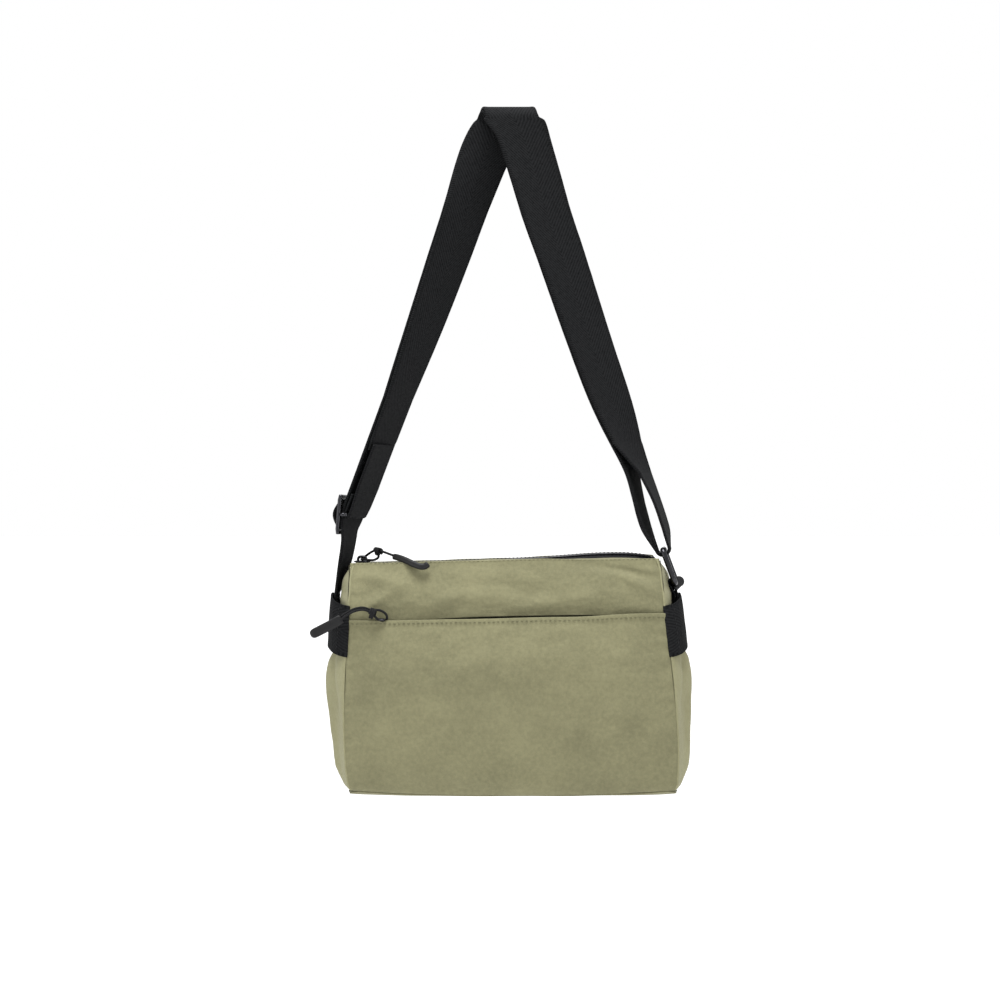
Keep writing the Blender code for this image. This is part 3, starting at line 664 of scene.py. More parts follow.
# Routes of each pull's doubled cord and grip, from its slider's bridge: (x, y, z)
TOP_CORD = [
    (0.0134, -0.0110, 0.0056), (0.0124, -0.0104, 0.0050), (0.0128, -0.0098, 0.0016),
    (0.0090, -0.0084, -0.0006), (0.0030, -0.0070, -0.0004), (0.0000, -0.0058, 0.0000),
    (0.0000, -0.0040, 0.0000), (0.0000, 0.0040, 0.0000), (0.0000, 0.0058, 0.0000), (0.0030, 0.0050, 0.0026),
    (0.0076, -0.0020, 0.0056), (0.0121, -0.0084, 0.0070), (0.0150, -0.0112, 0.0062),
    (0.0205, -0.0148, 0.0044), (0.0272, -0.0188, 0.0020),
]
TOP_GRIP = [
    (0.0252, -0.0182, 0.0022), (0.0295, -0.0222, 0.0012), (0.0345, -0.0264, -0.0006),
    (0.0400, -0.0306, -0.0030), (0.0450, -0.0330, -0.0047), (0.0485, -0.0336, -0.0046),
    (0.0512, -0.0336, -0.0026),
]
POCKET_CORD = [
    (-0.0306, -0.0030, 0.0016), (-0.0262, -0.0028, 0.0048), (-0.0200, -0.0028, 0.0080),
    (-0.0135, -0.0030, 0.0092), (-0.0085, -0.0030, 0.0078), (-0.0045, -0.0028, 0.0074),
    (-0.0006, -0.0018, 0.0070), (0.0030, -0.0010, 0.0048), (0.0044, 0.0002, 0.0016),
    (0.0026, 0.0006, -0.0004), (0.0000, -0.0014, -0.0004), (-0.0026, -0.0034, 0.0010),
    (-0.0056, -0.0046, 0.0036), (-0.0085, -0.0046, 0.0062), (-0.0135, -0.0046, 0.0077),
    (-0.0200, -0.0046, 0.0064), (-0.0258, -0.0046, 0.0032), (-0.0300, -0.0046, 0.0000),
]
POCKET_GRIP = [
    (-0.0292, -0.0038, 0.0008), (-0.0360, -0.0040, -0.0030), (-0.0430, -0.0040, -0.0066),
    (-0.0520, -0.0038, -0.0112),
]


def length_of(points):
    return sum((b - a).length for a, b in zip(points, points[1:]))


def knot(name, centre, along, size, body):
    """The cord's turns round its own pair."""
    along = along.normalized()
    side = along.cross(Vector((0, 0.3, 1))).normalized()
    up = side.cross(along)
    points = []
    for k in range(KNOT_STEPS):
        t = k / (KNOT_STEPS - 1)
        a = 2 * math.pi * KNOT_TURNS * t
        drift = along * ((t - 0.5) * 2.2 * CORD_R * 2)
        reach = size * (1 + 0.10 * math.sin(3 * a))
        points.append(centre + drift + side * (reach * math.cos(a)) + up * (reach * 0.85 * math.sin(a)))
    return tube(name, points, CORD_R * 0.95, "black_cord", body)


def add_pull(word, hole, cord_route, grip_route, tie, grip):
    """A pull: its cord, the knot (place, direction, size) and the grip (see bar_mesh)."""
    body = f"{word}_pull"
    route = [hole + Vector(p) for p in smooth_route(cord_route, 6)]
    cord = tube(f"{word}_cord", route, CORD_R, "black_cord", body, f"{word}_pull_cord")
    tie_piece = knot(f"{word}_knot", hole + Vector(tie[0]), Vector(tie[1]), tie[2], body)
    steps, wide, *section = grip
    line = [hole + Vector(p) for p in smooth_route(grip_route, steps)]
    shape = bar_mesh(f"{word}_grip", line, Vector(wide), *section)
    grip_piece = place_piece(f"{word}_grip", shape, "black_rubber", body, f"{word}_pull_grip")
    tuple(route[0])
    length_of(route)


def add_pulls():
    def top_ends(t):
        return min(1.0, 0.94 + 0.6 * t) * math.sqrt(max(0.3, 1 - max(0, (t - 0.93) / 0.08) ** 2))

    def pocket_ends(t):
        return min(1.0, 0.86 + 1.6 * t) * math.sqrt(max(0.10, 1 - max(0, (t - 0.84) / 0.17) ** 2))

    tie = ((0.0126, -0.0098, 0.0060), (0.006, -0.004, -0.001), 0.0027)
    grip = (7, (0, 0.2, 1), 0.0024, 0.0021, 2.6, top_ends)
    add_pull("top", TOP_HOLE, TOP_CORD, TOP_GRIP, tie, grip)
    tie = ((-0.0064, -0.0038, 0.0050), (-1, 0, 0.35), 0.0038)
    grip = (8, (0.3, 0, 1), 0.0036, 0.0013, 5, pocket_ends)
    add_pull("pocket", POCKET_HOLE, POCKET_CORD, POCKET_GRIP, tie, grip)


# ---- soft body ----

SWELL_CAP = 0.0028  # the furthest that the cloth moves when it is filled
SWELL_STEP = 0.005  # size of the cloth's cells
SWELL_FRAMES = 20
SWELL_NEAR = 0.006  # how far the cells count in the mean at a place
SWELL_SHARE = 0.8  # how much of the swell the walls take
SEAM_REACH = 0.006  # cells this near to a seam are held


def bag_form():
    """The bag's closed outer form, a little small, on which the cloth swells."""
    bm = bmesh.new()
    rings = []
    for h in spread(0.004, PANEL_TOP_H, 30):
        ring = [wall_point(x, h, -1, 0.002) for x in spread(-0.985, 0.985, 34)]
        ring += [gusset_point(y, h, 1) for y in spread(-0.9, 0.9, 12)[1:-1]]
        ring += [wall_point(x, h, 1, 0.002) for x in spread(0.985, -0.985, 34)]
        ring += [gusset_point(y, h, -1) for y in spread(0.9, -0.9, 12)[1:-1]]
        rings.append([bm.verts.new(p) for p in ring])
    return skinned(bm, rings, "bag_form")


def swell_field():
    """Fills the bag's form with a cloth simulation: how far each place of it moves, in a search tree."""
    obj = new_object("bag_form", bag_form())
    scene = bpy.context.scene
    remesh = obj.modifiers.new("remesh", "REMESH")
    remesh.mode = "VOXEL"
    remesh.voxel_size = SWELL_STEP
    graph = bpy.context.evaluated_depsgraph_get()
    mesh = bpy.data.meshes.new_from_object(obj.evaluated_get(graph))
    obj.modifiers.clear()
    obj.data = mesh
    before = np.array([v.co for v in mesh.vertices])
    held = obj.vertex_groups.new(name="held")
    held.add([k for k, p in enumerate(before) if not 0.008 <= p[2] + HOOK_H <= 0.172], 1.0, "REPLACE")
    for k, (x, y, z) in enumerate(before):
        h = z + HOOK_H
        corner = abs(abs(y) - smooth_value(SEAM_HALF_D, h)) < SEAM_REACH
        edge = abs(abs(x - BASE_SHIFT - LEAN * h) - smooth_value(SEAM_HALF_W, h)) < SEAM_REACH
        if (corner and edge) or (y < 0 and abs(h - POCKET_ZIP_H) < 0.004):
            held.add([k], 0.85, "REPLACE")
    cloth = obj.modifiers.new("cloth", "CLOTH")
    settings = cloth.settings
    settings.quality = 5
    settings.mass = 0.15
    settings.tension_stiffness = 8
    settings.compression_stiffness = 8
    settings.bending_stiffness = 0.4
    settings.use_pressure = True
    settings.uniform_pressure_force = 4
    settings.shrink_min = -0.02
    settings.vertex_group_mass = "held"
    settings.pin_stiffness = 1.0
    settings.effector_weights.gravity = 0
    cloth.collision_settings.use_collision = False
    for step in range(1, SWELL_FRAMES + 1):
        scene.frame_set(step)
    graph = bpy.context.evaluated_depsgraph_get()
    after = np.array([v.co for v in obj.evaluated_get(graph).data.vertices])
    scene.frame_set(1)
    bpy.data.objects.remove(obj)
    moved = after - before
    reach = np.linalg.norm(moved, axis=1, keepdims=True)
    moved = moved * np.minimum(1, SWELL_CAP / np.maximum(reach, 1e-9))
    tree = kdtree.KDTree(len(before))
    for k, place in enumerate(before):
        tree.insert(place, k)
    tree.balance()
    return tree, moved


def swell_at(place, edge_share):
    """How far the wall moves near a place; it stays still at its side edges, where edge_share is 1 or -1."""
    if SWELL_FIELD is None:
        return Vector((0, 0, 0))
    tree, moved = SWELL_FIELD
    total, weight = np.zeros(3), 0.0
    for _, index, distance in tree.find_n(place, 8):
        share = math.exp(-((distance / SWELL_NEAR) ** 2))
        total += share * moved[index]
        weight += share
    if weight < 1e-9:
        return Vector((0, 0, 0))
    return Vector(total / weight) * SWELL_SHARE * (1 - edge_share**6)


# Soft folds of the front: (x, h, slope in degrees, half length, half width, height)
FRONT_FOLDS = [
    (0.098, 0.160, -28, 0.020, 0.0044, 0.0018),
    (0.090, 0.168, -12, 0.022, 0.0032, -0.0016),
    (0.055, 0.150, 8, 0.034, 0.0060, 0.0010),
    (0.010, 0.156, -6, 0.040, 0.0065, -0.0009),
    (-0.045, 0.150, 10, 0.034, 0.0060, 0.0010),
    (-0.085, 0.164, -16, 0.026, 0.0050, 0.0010),
    (-0.095, 0.150, 32, 0.020, 0.0045, 0.0010),
    (-0.070, 0.145, 20, 0.018, 0.0050, -0.0006),
    (0.040, 0.030, 52, 0.026, 0.0090, -0.0011),
    (-0.020, 0.018, -10, 0.050, 0.0080, 0.0008),
    (0.085, 0.058, 74, 0.030, 0.0080, 0.0010),
    (-0.090, 0.070, 80, 0.036, 0.0080, 0.0008),
    (0.000, 0.100, 4, 0.060, 0.0140, 0.0007),
]


def folds_at(x, h, folds):
    total = 0.0
    for cx, ch, slope, half_l, half_w, height in folds:
        a = math.radians(slope)
        along = (x - cx) * math.cos(a) + (h - ch) * math.sin(a)
        across = -(x - cx) * math.sin(a) + (h - ch) * math.cos(a)
        total += height * math.exp(-((along / half_l) ** 2) - (across / half_w) ** 2)
    return total


def pucker(x_share, half_w, h, seed):
    """The gathers along a sewn side edge: they fade within a couple of centimetres."""
    inside = (1 - abs(x_share)) * half_w
    fade = math.exp(-inside / 0.010) * min(1.0, inside / 0.002)
    beat = math.sin(2 * math.pi * h / 0.0125 + 6.0 * ripple((h, seed, 0), 0.022, seed))
    return 0.00055 * fade * beat * (0.6 + 0.8 * ripple((h, seed, 1), 0.030, seed))


def low_edge(x_share):
    """How far the base seam pulls up the walls' bottom edge, most of all at the corners."""
    return 0.0004 + 0.0032 * abs(x_share) ** 2.6


def pulled_up(x_share, h):
    """How far the base seam pulls up the wall at this height."""
    return low_edge(x_share) * max(0.0, 1 - (h - WALL_LOW_H) / 0.02) ** 2


def front_place(x_share, h, low, high, hem):
    """A point of the outside of the front's sheet from low to high, with its swell, folds and gathers."""
    v = (h - low) / (high - low)
    half_w = smooth_value(SEAM_HALF_W, h)
    place = wall_point(x_share, h, -1)
    place += swell_at(place, x_share)
    inner = off_edges(v, 6) * (1 - x_share**8)
    out = 1.9 * folds_at(x_share * half_w, h, FRONT_FOLDS) * (1 - x_share**10)
    out += pucker(x_share, half_w, h, 3.0 if x_share < 0 else 7.0)
    out += 0.0009 * inner * ripple((place.x, h * 1.6, 0), 0.020, 1.0)
    out += 0.00030 * inner * ripple((place.x, h * 2.2, 0), 0.006, 2.0)
    if hem:
        bowed = (1 - x_share**6) * max(0.0, (h - 0.080) / 0.056) ** 1.4
        out += 0.0006 * clamp((h - (high - 0.0038)) / 0.0008)
        out += (0.0030 + 0.0012 * rise_about(place.x, -0.055, 0.02)) * bowed
        place.z += 0.0016 * rise_about(place.x, 0.075, 0.018) * max(0.0, v) ** 10
    else:
        slack = rise_about(place.x, -0.045, 0.02) - rise_about(place.x, 0.070, 0.015)
        out -= 0.0015 * (1 - v) ** 4
        place.z += 0.0016 * slack * (1 - x_share**12) * (1 - v) ** 6
        place.z -= 0.0016 * rise_about(place.x, 0.050, 0.022) * v**4
    place.y += 0.0010 * abs(x_share) ** 40 - out
    place.x += math.copysign(0.0012 * abs(x_share) ** 24, x_share)
    place.z += pulled_up(x_share, h)
    place.z += 0.0006 * ripple((place.x, 0, 0), 0.05, 9.0) * clamp(v) ** 4
    return place


def pocket_surface(u, v):
    low = WALL_LOW_H - 0.0012
    return front_place(2 * u - 1, between(low, POCKET_TOP_H, v), low, POCKET_TOP_H, True)


ROLL_R = 0.0014  # of the fold in which the front turns over into its facing
ROLL_SHARE = 0.62  # of the sheet's grid lies below that fold


def upper_surface(u, v):
    """The front above the pocket's slit, rolled over at the top and on to the zip."""
    x_share = 2 * u - 1
    top = PANEL_TOP_H + 0.0002
    if v <= ROLL_SHARE:
        return front_place(x_share, between(UPPER_FRONT_H, top, v / ROLL_SHARE), UPPER_FRONT_H, top, False)
    edge = front_place(x_share, top, UPPER_FRONT_H, top, False)
    t = (v - ROLL_SHARE) / (1 - ROLL_SHARE)
    turned = min(1.0, t / 0.35)
    a = math.pi / 2 * turned
    y = edge.y + ROLL_R * (1 - math.cos(a))
    z = edge.z + ROLL_R * math.sin(a)
    inward = max(0.0, (t - 0.35) / 0.65)
    y = between(y, -FACING_IN_Y, inward)
    x = x_share * TOP_HALF_W
    end = zip_line(x, -FACING_IN_Y, FACING_H)
    drop = 0.0034 * rise_about(x, 0.030, 0.02)
    puff = 0.0004 * math.sin(math.pi * inward) * (1 + ripple((x, 0, 0), 0.02, 3.0))
    return Vector((edge.x, y, between(z, end.z - drop, inward**0.6) + puff))


def back_surface(u, v):
    x_share = 2 * u - 1
    h = between(WALL_LOW_H - 0.0012, PANEL_TOP_H, v)
    half_w = smooth_value(SEAM_HALF_W, h)
    place = wall_point(x_share, h, 1)
    place += swell_at(place, x_share)
    place.z += pulled_up(x_share, h)
    place.y += 0.0010 * (1 - x_share**8) * off_edges(v, 6) * ripple((place.x, h, 1), 0.040, 4.0)
    place.y += pucker(x_share, half_w, h, 5.0) - 0.0010 * abs(x_share) ** 40
    place.x += math.copysign(0.0012 * abs(x_share) ** 24, x_share)
    return place


# Folds of the side walls: (share of the depth, h, slope in degrees from level, half length, half width, height)
SIDE_FOLDS = [
    (-0.50, 0.060, 86, 0.050, 0.10, 0.0022),
    (-0.18, 0.050, 94, 0.055, 0.11, -0.0020),
    (0.25, 0.060, 88, 0.050, 0.12, 0.0018),
    (0.60, 0.050, 92, 0.045, 0.10, -0.0016),
    (-0.70, 0.090, 80, 0.020, 0.08, -0.0018),
    (-0.45, 0.163, 84, 0.012, 0.16, 0.0016),
    (0.35, 0.163, 96, 0.012, 0.16, 0.0016),
]


def side_surface(side):
    def surface(u, v):
        share = 2 * u - 1
        h = between(WALL_LOW_H - 0.0015, GUSSET_TOP_H, v)
        place = gusset_point(share, h, side)
        place.y += share * (CLOTH + GAP - 0.0003)
        place.x -= side * 0.0001 * abs(share) ** 12
        place.z += pulled_up(1, h)
        place += swell_at(place, share)
        out = 0.0
        for depth, ch, slope, half_l, half_w, height in SIDE_FOLDS:
            lean = math.cos(math.radians(slope)) * (h - ch) / 0.045
            out += 1.5 * height * math.exp(-(((h - ch) / half_l) ** 2) - ((share - depth - lean) / half_w) ** 2)
        under_band = min(1.0, abs(h - 0.132) / 0.022) ** 2
        room = off_edges(v, 8) * (1 - share**8) * under_band
        out += 0.0009 * ripple((share * 0.04, h, side), 0.016, 6.0)
        place.x += side * out * room
        place.x -= side * 0.0048 * (1 - share**6) * math.exp(-(((h - 0.052) / 0.036) ** 2))
        near_top = max(0.0, (h - (GUSSET_TOP_H - 0.012)) / 0.012) ** 2
        beside = clamp((abs(place.y) - 0.0108) / 0.0025)
        meet = zip_line(side * TOP_HALF_W, place.y, between(TAPE_H - 0.0002, FACING_H - 0.0006, beside))
        place.z += near_top * (meet.z - gusset_point(share, GUSSET_TOP_H, side).z)
        place.x -= side * 0.0009 * near_top
        return place

    return surface


def add_sheet(name, surface, grid, size, thickness, offset, *nodes, material="olive_nylon"):
    """A sheet of the bag's cloth: grid is its count of cells and size is in metres, along u and v."""
    shape = sheet_mesh(name, surface, *grid, *size)
    thicken(place_piece(name, shape, material, "bag", *nodes), thickness, offset)


def add_panels():
    width = 2 * SEAM_HALF_W[2][1]
    add_sheet("pocket_front", pocket_surface, (150, 84), (width, POCKET_TOP_H), CLOTH, -1, "pocket_panel")
    size = (width, PANEL_TOP_H - UPPER_FRONT_H + 0.017)
    upper_nodes = ("front_upper_panel", "top_front_facing")
    add_sheet("upper_front", upper_surface, (150, 56), size, CLOTH, -1, *upper_nodes)
    add_sheet("back_wall", back_surface, (110, 84), (width, PANEL_TOP_H), CLOTH, 1, "back_panel")
    for side, word in SIDES:
        surface, size = side_surface(side), (0.09, GUSSET_TOP_H)
        node = f"{word}_gusset"
        # the side walls take the lighter olive cloth, which is painted light for the light they catch from the sides
        add_sheet(f"{word}_side", surface, (48, 90), size, CLOTH, -side, node, material="olive_side_painted_light")

    def back_facing(u, v):
        x = (2 * u - 1) * TOP_HALF_W
        y = between(FACING_OUT_Y + 0.0004, FACING_IN_Y, v)
        seam = hang(x, y, PANEL_TOP_H + CLOTH - 0.0002)
        place = seam.lerp(zip_line(x, y, FACING_H), v * v * (3 - 2 * v))
        place.z += 0.0006 * math.sin(math.pi * v) * (1 + ripple((x, 0, 0), 0.02, 5.0))
        return place

    add_sheet("back_facing", back_facing, (110, 12), (2 * TOP_HALF_W, 0.0144), CLOTH, 1, "top_back_facing")
    add_base()
    add_seams()


def base_place(x, y, lift=0.0):
    """A point of the base, which is drawn up a little towards its edges."""
    away = max(abs(x) / BASE_HALF_W, abs(y) / BASE_HALF_D) ** 6
    rise = low_edge(x / BASE_HALF_W) * abs(y / BASE_HALF_D) ** 9 + 0.0010 * abs(x / BASE_HALF_W) ** 14
    return hang(x, y, BASE_H + lift) + Vector((0, 0, rise + 0.0002 * away))


def add_base():
    def surface(u, v):
        x, y = (2 * u - 1) * BASE_HALF_W, (2 * v - 1) * BASE_HALF_D
        over_x, over_y = abs(x) - (BASE_HALF_W - BASE_CORNER), abs(y) - (BASE_HALF_D - BASE_CORNER)
        if over_x > 0 and over_y > 0:
            far = math.hypot(over_x, over_y)
            fit = max(over_x, over_y) / far
            x = math.copysign(BASE_HALF_W - BASE_CORNER + over_x * fit, x)
            y = math.copysign(BASE_HALF_D - BASE_CORNER + over_y * fit, y)
        place = base_place(x, y)
        place.z += 0.0003 * ripple((x, y, 0), 0.030, 8.0)
        return place

    add_sheet("base_cloth", surface, (110, 44), (2 * BASE_HALF_W, 2 * BASE_HALF_D), 0.0014, 1, "base_panel")
    rim = rounded_rim(BASE_HALF_W, BASE_HALF_D, BASE_CORNER, 6)
    route = []
    for (x0, y0), (x1, y1) in zip(rim, rim[1:] + rim[:1]):
        for x, y in list(zip(spread(x0, x1, 10), spread(y0, y1, 10)))[:-1]:
            route.append(base_place(x, y, BASE_T + 0.0001))
    tube("base_seam", route + route[:1], 0.00055, "olive_thread", "bag")


def add_seams():
    """Stitch rows that lie on the finished cloth, and the seams at the sides of the upper front: real seams whose
    cords are painted dark as shade in the seam's gap.
    """
    front = Vector((0, -1, 0))
    row = []
    for x_share in spread(-0.975, 0.985, 160):
        place = front_place(x_share, POCKET_TOP_H - 0.0028, WALL_LOW_H, POCKET_TOP_H, True)
        row.append(place + front * 0.0002)
    stitch_row("hem_stitches", row, front, "bag")
    row = [upper_surface(u, between(ROLL_SHARE, 1, 0.12)) for u in spread(0.01, 0.99, 160)]
    stitch_row("edge_stitches", row, Vector((0, -0.7, 0.7)), "bag", length=0.0021)
    for side, word in SIDES:
        route = []
        for h in spread(0.1430, PANEL_TOP_H, 49):
            edge = front_place(side, h, UPPER_FRONT_H, PANEL_TOP_H, False)
            wave = 0.0003 * ripple((0, h, side), 0.006, 15.0)
            route.append(edge + Vector((side * (0.0005 + wave), 0.0007, 0)))
        # a real seam, its cord coloured dark as painted shade in the gap beside the panel's edge
        tube(f"{word}_seam", route, 0.00045, "olive_seam_shade", "bag")
    row = [back_surface(u, 0.985) - front * 0.0002 for u in spread(0.01, 0.99, 140)]
    stitch_row("back_stitches", row, -front, "bag")


# ---- bands, strap and ring ----


def level(x, y, h):
    """A point at a height, where the bag's own tilt plays no part."""
    return Vector((x, y, h - HOOK_H))


def width_at(turn):
    """The level direction at this angle from X towards Y."""
    return Vector((math.cos(turn), math.sin(turn), 0))


def stations(route):
    """(centre, width direction) along a route of (x, y, h, turn in degrees)."""
    return [(level(p[0], p[1], p[2]), width_at(math.radians(p[3]))) for p in smooth_route(route, 9)]


def outward(before, after, across):
    """The direction away from the webbing's inner face, between these two stations."""
    along = (after - before).normalized()
    return along.cross((across - along * across.dot(along)).normalized())


def tongue(x):
    """Stations of a rounded end that turns about the swing axis, tip first."""
    out = []
    half = WEB_W / 2
    for degrees in spread(78, 0, 7):
        a = math.radians(degrees)
        out.append((level(x, 0, AXIS_H - half * math.sin(a)), width_at(math.pi / 2), half * math.cos(a)))
    return out


def fold_stations():
    """Over the hook line, from the back to the front."""
    out = []
    for k, x in enumerate(spread(-FOLD_SHIFT, FOLD_SHIFT, 16)):
        a = math.pi * k / 16
        out.append((level(x, FOLD_R * math.cos(a), FOLD_H + FOLD_R * math.sin(a)), width_at(0)))
    return out


def ring_axes():
    """The ring's directions: along its bars, up its sides and out of its plane."""
    across = width_at(RING_TURN)
    up = Vector((-math.sin(RING_LEAN), 0, math.cos(RING_LEAN)))
    up = (up - across * up.dot(across)).normalized()
    return across, up, across.cross(up)


def inner_line():
    """Stations of the strap's inner ply, from the adjuster over the hook to above the ring."""
    straight = [tuple(between(a, b, k / 16) for a, b in zip(*STRAIGHT)) for k in range(17)]
    mid = [(level(*p[:3]), width_at(math.radians(p[3]))) for p in straight]
    high = stations([STRAIGHT[1]] + LEFT_HIGH + [(-FOLD_SHIFT, FOLD_R, FOLD_H, 0)])[1:-1]
    right = stations([(FOLD_SHIFT, -FOLD_R, FOLD_H, 0)] + RIGHT_HIGH)[1:]
    return mid + high + fold_stations() + right


def outer_line(inner):
    """The same route for the ply that lies outside it."""
    out = []
    for k, (centre, width) in enumerate(inner):
        before, after = inner[max(k - 1, 0)][0], inner[min(k + 1, len(inner) - 1)][0]
        out.append((centre + outward(before, after, width) * PLY_PITCH, width))
    return out


def ring_wrap():
    """Stations round the ring's upper bar."""
    across, up, face = ring_axes()
    bar = RING_LOW - HOOK + up * RING_REACH
    turn_r = RING_WIRE_R + 0.0018 + WEB_T / 2
    out = []
    for k in range(15):
        a = math.pi * k / 14
        out.append((bar + face * (turn_r * math.cos(a)) - up * (turn_r * math.sin(a) - 0.0007), across))
    return out


def adjuster_axes(distance):
    """A place on the straight stretch, and its directions along, across and outward."""
    start, end = (level(*p[:3]) for p in STRAIGHT)
    along = (end - start).normalized()
    across = width_at(math.radians(STRAIGHT[0][3]))
    across = (across - along * across.dot(along)).normalized()
    return start + along * distance, along, across, along.cross(across)


def add_strap():
    half = WEB_W / 2
    inner = inner_line()
    outer = outer_line(inner)
    start, along, _, _ = adjuster_axes(0)
    outer = [s for s in outer if (s[0] - start).dot(along) > ADJUSTER_S]
    first = outer[0][0]
    low = stations(LEFT_LOW + [(first.x, first.y, first.z + HOOK_H, STRAIGHT[0][3])])[:-1]
    sewn_end = (start + along * RETURN_PLY_S, inner[0][1])
    inner = [sewn_end] + [s for s in inner if (s[0] - start).dot(along) > RETURN_PLY_S + 0.002]
    down = stations([RIGHT_HIGH[-1]] + RIGHT_INNER)[1:]
    line = low + outer + stations(RIGHT_OUTER)[::-1] + ring_wrap() + down[::-1] + inner[::-1]
    line = tongue(LEFT_TONGUE_X)[:-1] + [(c, w, half) for c, w in line]
    place_piece("strap_web", web_mesh("strap_web", line, WEB_T), "black_webbing", "strap", "strap_webbing")


def add_adjuster():
    """The three-bar slider, the webbing humped over it, and the sewn end round its middle bar."""
    place, slope, _, side_out = adjuster_axes(ADJUSTER_S)
    middle = place + side_out * PLY_PITCH
    along = Vector((0.08, 0, 1)).normalized()
    across = width_at(FRAME_TURN)
    across = (across - along * across.dot(along)).normalized()
    out = along.cross(across)
    frame_at = middle - Vector((0.0030, 0, 0.0022))

    def spot(s, n):
        """A place s up the strap and n inward of the ply that runs through, and the width's direction."""
        turned = math.radians(69 + 4 * max(0.0, 1 - max(0.0, s + 0.002) / 0.022))
        return middle + slope * s - side_out * n - Vector((0.0012 * max(0.0, 1 - s / 0.02), 0, 0)), width_at(turned)

    inner, bar, outer = 0.0018, 0.0036, 0.0054
    route = [(0.0150, inner), (0.0110, inner), (0.0075, inner), (0.0040, inner), (0.0005, inner)]
    for k in range(1, 12):
        a = math.pi * k / 12
        route.append((-0.0010 - 0.0020 * math.sin(a), bar - (bar - inner) * math.cos(a)))
    route += [(0.0005, outer), (0.0060, outer), (0.0130, 0.0048), (0.0200, 0.0043)]
    route += [(0.0270, 0.0042), (0.0390, 0.0042), (0.0480, 0.0042), (0.0560, 0.0042)]
    route = [(p.x, p.y) for p in smooth_route([(a, b, 0) for a, b in route], 3)]
    line = [(*spot(s, n), WEB_W / 2) for s, n in route]
    place_piece("sewn_end", web_mesh("sewn_end", line, LOOP_T), "black_webbing", "adjuster", "strap_end_loop")
    hump = []
    for s in spread(-0.0116, 0.0116, 24):
        rise = 0.0019 + 0.0046 * max(0.0, math.cos(math.pi * s / 0.0236)) ** 1.6
        hump.append((frame_at + along * s + out * rise, across, WEB_W / 2 - 0.0004))
    place_piece("hump", web_mesh("hump", hump, 0.0017), "black_webbing", "adjuster")
    parts = []
    bars = [(s, 0.0018, 0.0016, 0.0010, 2.4) for s in (-FRAME_HALF_L, FRAME_HALF_L)]
    bars.append((0, -bar, 0.0012, 0.0009, 2.2))
    for s, rise, *section in bars:
        widths = np.linspace(-FRAME_HALF_W, FRAME_HALF_W, 9)
        points = [frame_at + along * s + across * w + out * rise for w in widths]
        parts.append(bar_mesh("bar", points, along, *section))
    for side in (-1, 1):
        points = []
        for s in spread(-0.0146, 0.0146, 24):
            dip = 0.0019 - 0.0030 * max(0, abs(s) / 0.0146 - 0.75)
            points.append(frame_at + along * s + across * (side * FRAME_HALF_W) + out * dip)
        parts.append(bar_mesh("rail", points, across, 0.0013, 0.0014, 2.4))
        drops = ((FRAME_HALF_W, -0.001), (0.0206, 0.0014), (0.0203, bar))
        stub = [frame_at + across * (side * w) - out * d for w, d in drops]
        parts.append(bar_mesh("stub", stub, along, 0.0014, 0.0011, 2.2))
    place_piece("slider_frame", joined("slider_frame", parts), "gunmetal", "adjuster", "strap_slider")
    for s in (0.0110, 0.0165):
        row = []
        for w in np.linspace(-0.0165, 0.0165, 12):
            here, wide = spot(s, 0.0055)
            row.append(here + wide * w)
        stitch_row(f"end_stitches_{round(s * 1e4)}", row, -out, "adjuster", "black_thread", length=0.0022)


def add_ring():
    across, up, _ = ring_axes()
    low = RING_LOW - HOOK
    middle = RING_REACH / 2
    loop = [low + across * x + up * (y + middle) for x, y in rounded_rim(RING_HALF_W, middle, 0.004, 8)]
    tube("ring_wire", loop + loop[:1], RING_WIRE_R, "gunmetal", "ring", "right_ring")
    upward = Vector((0, 0, 1))
    sideways = across.cross(upward)
    turn_r = RING_WIRE_R + 0.0004 + LOOP_T / 2
    wide = width_at(math.radians(78))
    line = tongue(RIGHT_TONGUE_X + 0.0011)
    for degrees in spread(-66, 246, 20):
        a = math.radians(degrees)
        line.append((low + (sideways * math.cos(a) + upward * math.sin(a)) * turn_r, wide, WEB_W / 2))
    line += tongue(RIGHT_TONGUE_X - 0.0011)[::-1]
    place_piece("loop_web", web_mesh("loop_web", line, LOOP_T), "black_webbing", "strap", "ring_loop")


def band_place(share, rise, side):
    """A point of the outside of a side band; rise runs from its lower to its upper edge."""
    h = between(BAND_TOP_H - WEB_W, BAND_TOP_H, rise) - BAND_DIP * share**2
    depth = smooth_value(SEAM_HALF_D, h) + 0.0004
    seam = smooth_value(SEAM_HALF_W, h)
    edge = seam + 0.0006 + (BAND_T + 0.0030) * (1 - abs(share) ** 14)
    out = smooth_value(BAND_HALF_W, h) - edge
    place = hang(side * (edge + out * (1 - share**4)), share * depth, h)
    wave = 0.0003 * ripple((share * 0.05, h, side), 0.012, 12.0)
    return Vector((place.x + side * wave, place.y, h - HOOK_H))


def add_bands():
    for side, word in SIDES:

        def surface(u, v, side=side):
            return band_place(2 * u - 1, v, side)

        shape = sheet_mesh(f"{word}_band", surface, 60, 22, 0.086, WEB_W, crosswise=True)
        thicken(place_piece(f"{word}_band", shape, "black_webbing", "bag", f"{word}_side_band"), BAND_T, -side)
        for share in (-0.90, -0.78, 0.78, 0.90):
            row = [band_place(share, rise, side) for rise in spread(0.06, 0.94, 14)]
            out = Vector((side, 1.2 * share, 0)).normalized()
            name = f"{word}_band_stitches_{round(share * 100)}"
            stitch_row(name, [p + out * 0.0002 for p in row], out, "bag", "black_thread")


# ---- zips ----


